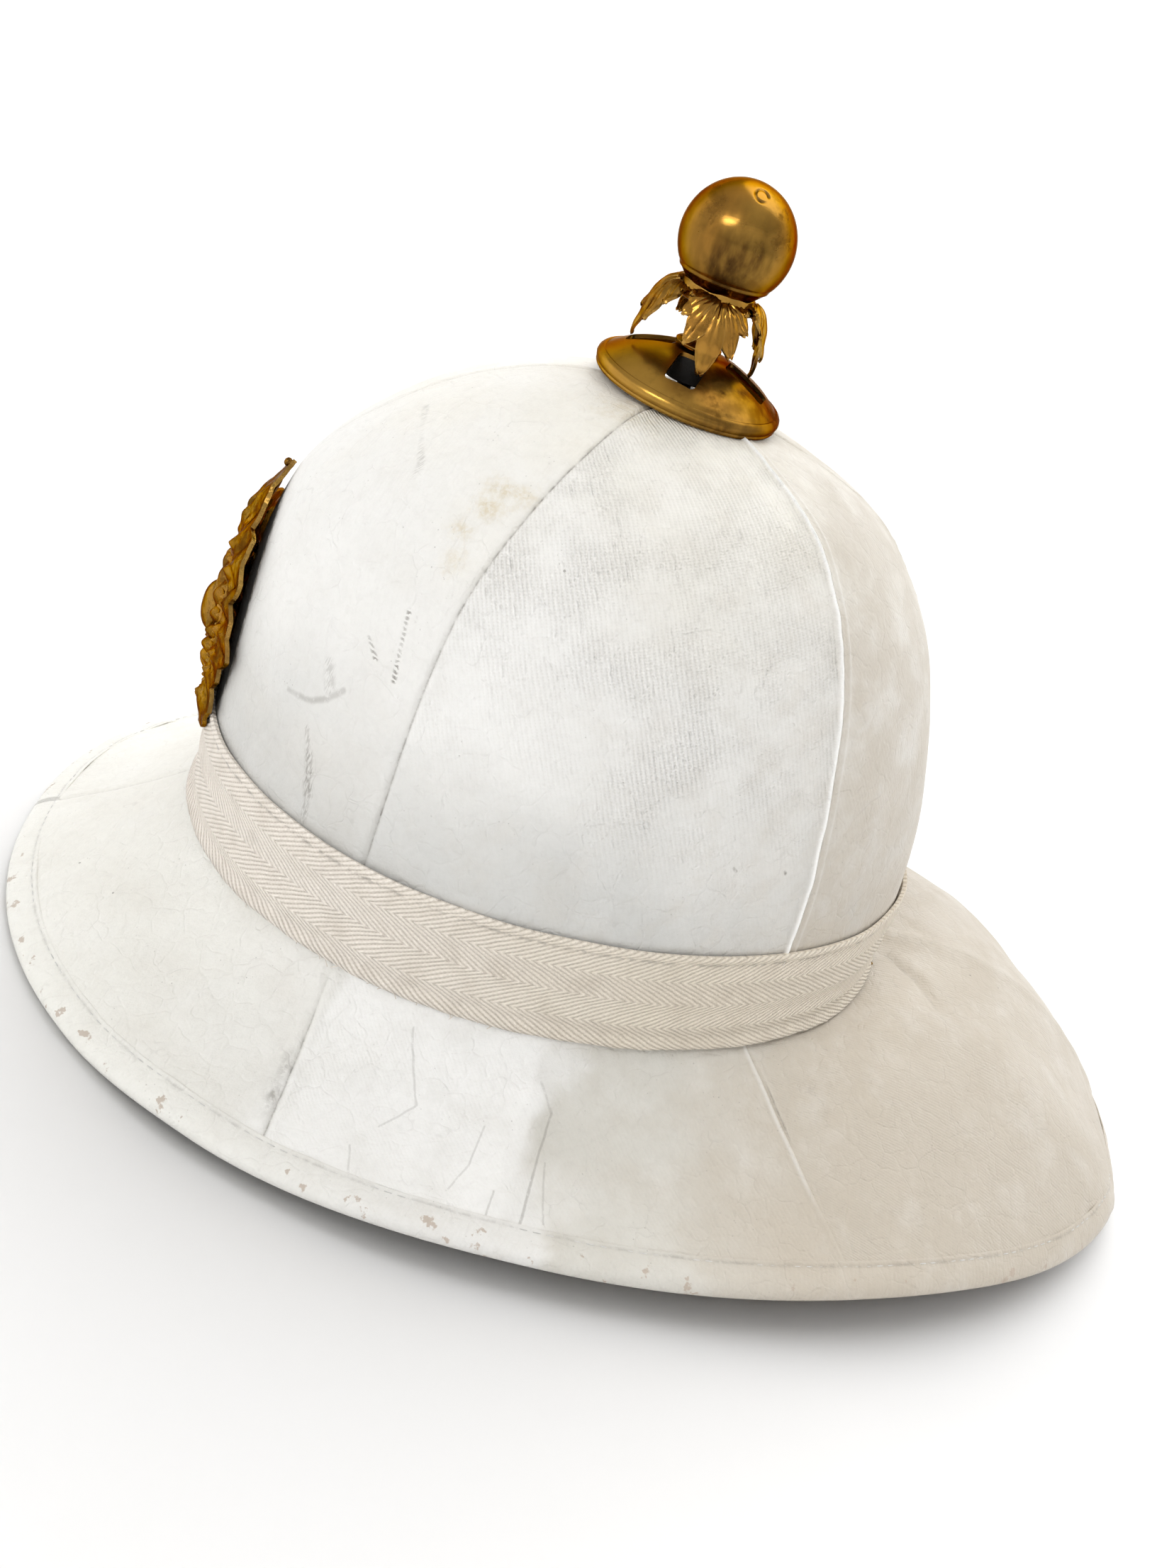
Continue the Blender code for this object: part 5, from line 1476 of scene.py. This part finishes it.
class HELMET_OT_front_plate(Step, bpy.types.Operator):
    """Shapes the rayed brass plate, its ring, boss, knob and lugs"""

    bl_idname = "helmet.front_plate"
    bl_label = "Front Plate"

    def outline(self, ray):
        share = ray / (2 * PLATE_RAYS)
        x = np.sin(math.tau * share)
        z = np.cos(math.tau * share)
        half_height = np.where(z > 0, PLATE_REACH_UP, PLATE_REACH_DOWN)
        oval = 1 / np.hypot(x / PLATE_HALF_WIDTH, z / half_height)
        from_point = np.abs((share * PLATE_LONG_RAYS + 0.5) % 1.0 - 0.5) * 2
        reach = oval * (1.0 - PLATE_POINT_DROP * from_point)
        return reach * np.where(ray % 2 == 1, PLATE_VALLEY, 1.0)

    def build(self, sizes, look):
        turn, share = np.meshgrid(np.linspace(0, math.tau, PLATE_COLUMNS), np.linspace(0, 1, PLATE_ROWS))
        ray = turn / math.tau * 2 * PLATE_RAYS
        low = np.floor(ray + 1e-9)
        inner = self.outline(low % (2 * PLATE_RAYS))
        outer = self.outline((low + 1) % (2 * PLATE_RAYS))
        reach = inner + (outer - inner) * (ray - low)
        smooth = np.hypot(np.sin(turn) / PLATE_HALF_WIDTH, np.cos(turn) / PLATE_REACH_DOWN)
        rayed = eased(share, 0.50, 0.85)
        radius = share * (reach * rayed + (1 - rayed) / smooth)
        x = radius * np.sin(turn)
        z = radius * np.cos(turn)
        ridge = np.abs(((ray + 1) % 2) - 1)
        relief = 0.0046 * np.sqrt(np.clip(1 - (share / 0.20) ** 2, 0, 1))
        relief += 0.0022 * (1 - eased(share, 0.20, 0.62))
        relief += 0.0014 * bump(share - 0.235, 0.018)
        leaf = np.abs(np.sin(turn * PLATE_LEAVES / 2 + share * 9))
        relief += 0.0024 * leaf * bump(share - 0.40, 0.085)
        relief += 0.0013 * bump(share - 0.53, 0.020) * (0.7 + 0.5 * np.cos(turn * 44))
        relief += 0.0010 * bump(share - 0.59, 0.014)
        relief += 0.0020 * ridge * eased(share, 0.58, 0.66) * (1 - 0.7 * eased(share, 0.86, 1.0))
        relief += 0.0010 * np.abs(np.cos(turn * PLATE_RAYS)) * bump(share - 0.76, 0.05)
        relief += 0.0003 * ripple(np.stack((x, share * 0, z), -1), 0.0070, 91)
        height = PLATE_CENTRE_Z + z
        y = plate_y(height) + x ** 2 / (2 * PLATE_BEND_ACROSS) - PLATE_THICKNESS - relief
        points = np.stack((x, y, height), -1)
        plate = new_grid("front_plate_brass", points[:, ::-1], closed=True)
        edited(plate, outwards)
        applied(plate, "SOLIDIFY", thickness=PLATE_THICKNESS, offset=-1.0, use_even_offset=False)
        matt = old_brass("plate_brass", look, 0.15, 0.30, 0.32, 0.0006)
        finished(plate, matt, ["front_plate"], 45.0)
        self.fittings(matt)

    def fittings(self, matt):
        """Knob on the plate's top and the lugs behind it."""
        top = PLATE_CENTRE_Z + PLATE_REACH_UP * PLATE_KNOB_SHARE
        knob = spun("plate_knob", KNOB_PROFILE, 32, closed=False)
        seat = Matrix.Translation((0.0, float(plate_y(top)) - PLATE_THICKNESS, top))
        knob.data.transform(seat @ Matrix.Rotation(math.radians(PLATE_KNOB_LEAN), 4, "X"))
        finished(knob, matt, ["front_plate"], 60.0)
        wide, narrow = PLATE_LUG_RADIUS * 1.3, PLATE_LUG_RADIUS * 0.8
        for i, (height, ring) in enumerate(PLATE_LUGS):
            back = float(plate_y(height))
            length = float(crown_point(np.array([0.0]), ring)[0, 1]) - back
            lug = spun(f"plate_lug_{i + 1}", (
                (0.0, 0.0), (wide, 0.0), (wide, 0.0006), (narrow, 0.0012), (narrow, length - 0.0010),
                (PLATE_LUG_RADIUS, length - 0.0004), (0.0, length)), 24, closed=False)
            seat = Matrix.Translation((0.0, back, height))
            lug.data.transform(seat @ Matrix.Rotation(math.radians(-90), 4, "X"))
            finished(lug, matt, ["front_plate"], 40.0)


# ---------------------------------------------------------------- studio

# Steps by which the floor curves up at its far edge
FLOOR_RISE = ((1.2, 0.15), (1.2, 0.45), (1.1, 0.9), (0.8, 1.4), (0.4, 1.8), (0.1, 4.0))
FLOOR_SIZE = 24.0
FLOOR_BACK = 9.0
FLOOR_DROP = 0.0002

# Soft lights far away: name, the way to it, strength, and how wide it looks in degrees
LIGHTS = (
    ("key_window", (0.665, -0.534, 0.528), 1.75, 22.0),
    ("front_window", (0.511, -0.855, 0.100), 0.25, 9.0),
    ("back_softbox", (-0.600, 0.450, 0.900), 1.45, 60.0),
)
SKY_LOW = 0.22
SKY_HIGH = 0.74


class HELMET_OT_studio(Step, bpy.types.Operator):
    """Sets the pale floor, the soft lights and the photograph's camera"""

    bl_idname = "helmet.studio"
    bl_label = "Studio"

    def build(self, sizes, look):
        scene = bpy.context.scene
        right = Vector(CAMERA_RIGHT).normalized()
        down = Vector(CAMERA_DOWN).normalized()
        forward = right.cross(down)
        turn = Matrix((right, -down, -forward)).transposed().to_4x4()
        lens = bpy.data.cameras.new("photo_camera")
        lens.sensor_width = CAMERA_SENSOR
        lens.lens = CAMERA_LENS
        lens.clip_start = 0.01
        lens.clip_end = 200.0
        camera = linked("photo_camera", lens)
        camera.matrix_world = Matrix.Translation(CAMERA_PLACE) @ turn
        scene.camera = camera

        middle = (FLOOR_SIZE / 2 - FLOOR_BACK, 0, -FLOOR_DROP)
        floor = added(bpy.ops.mesh.primitive_plane_add, size=FLOOR_SIZE, location=middle)
        floor.name = floor.data.name = "studio_floor"
        bpy.ops.object.transform_apply(location=True)
        for vertex in floor.data.vertices:
            vertex.select = vertex.co.x < 0
        for edge in floor.data.edges:
            edge.select = all(floor.data.vertices[i].select for i in edge.vertices)
        for back, upward in FLOOR_RISE:
            only(floor)
            bpy.ops.object.mode_set(mode="EDIT")
            bpy.ops.mesh.select_mode(type="EDGE")
            bpy.ops.mesh.extrude_edges_move()
            bpy.ops.transform.translate(value=(-back, 0.0, upward))
            bpy.ops.object.mode_set(mode="OBJECT")
        only(floor)
        bpy.ops.object.shade_smooth()
        s = Shader("studio_white")
        s.colour = s.mix(s.noise(0.8, 2.0), (0.95, 0.95, 0.95), (0.93, 0.93, 0.93))
        glow = s.between(s.parts(s.place)[0], -1.0, -6.0, 0.0, 0.45)
        s.feed(s.surface.inputs["Emission Strength"], glow)
        s.surface.inputs["Emission Color"].default_value = (1.0, 1.0, 1.0, 1.0)
        floor.data.materials.append(s.finish(0.7))

        world = bpy.data.worlds.new("studio_world")
        world.use_nodes = True
        scene.world = world
        nodes = world.node_tree.nodes
        links = world.node_tree.links
        height = nodes.new("ShaderNodeSeparateXYZ")
        links.new(nodes.new("ShaderNodeTexCoord").outputs["Generated"], height.inputs[0])
        share = nodes.new("ShaderNodeMapRange")
        share.inputs["To Min"].default_value = SKY_LOW
        share.inputs["To Max"].default_value = SKY_HIGH
        links.new(height.outputs["Z"], share.inputs["Value"])
        links.new(share.outputs[0], nodes["Background"].inputs["Strength"])
        nodes["Background"].inputs["Color"].default_value = (1.0, 0.99, 0.98, 1.0)
        for name, way, strength, width in LIGHTS:
            lamp = bpy.data.lights.new(name, "SUN")
            lamp.energy = strength
            lamp.angle = math.radians(width)
            linked(name, lamp).rotation_euler = Vector(way).to_track_quat("Z", "Y").to_euler()
        scene.view_settings.view_transform = "Standard"


# ---------------------------------------------------------------- add-on

class HELMET_PT_panel(bpy.types.Panel):
    """Lists the steps that dress the helmet"""

    bl_label = "Sun Helmet"
    bl_idname = "HELMET_PT_panel"
    bl_space_type = "VIEW_3D"
    bl_region_type = "UI"
    bl_category = "Helmet"

    def draw(self, context):
        column = self.layout.column(align=True)
        for step in STEPS:
            column.operator(step.bl_idname)
        for group in (context.scene.helmet_sizes, context.scene.helmet_colours):
            box = self.layout.box().column(align=True)
            for name in group.bl_rna.properties.keys():
                if name not in {"rna_type", "name"}:
                    box.prop(group, name)


STEPS = (
    HELMET_OT_studio,
    HELMET_OT_pith,
    HELMET_OT_crown_cloth,
    HELMET_OT_brim_cloth,
    HELMET_OT_binding,
    HELMET_OT_band,
    HELMET_OT_vent_dome,
    HELMET_OT_leaf_cup,
    HELMET_OT_ball,
    HELMET_OT_front_plate,
)
CLASSES = (HELMET_PG_sizes, HELMET_PG_colours, *STEPS, HELMET_PT_panel)


def register():
    for item in CLASSES:
        bpy.utils.register_class(item)
    bpy.types.Scene.helmet_sizes = PointerProperty(type=HELMET_PG_sizes)
    bpy.types.Scene.helmet_colours = PointerProperty(type=HELMET_PG_colours)


def unregister():
    del bpy.types.Scene.helmet_colours
    del bpy.types.Scene.helmet_sizes
    for item in reversed(CLASSES):
        bpy.utils.unregister_class(item)


def main():
    register()
    bpy.ops.helmet.studio()
    bpy.ops.helmet.pith()
    bpy.ops.helmet.crown_cloth()
    bpy.ops.helmet.brim_cloth()
    bpy.ops.helmet.binding()
    bpy.ops.helmet.band()
    bpy.ops.helmet.vent_dome()
    bpy.ops.helmet.leaf_cup()
    bpy.ops.helmet.ball()
    bpy.ops.helmet.front_plate()


if __name__ == "__main__":
    main()
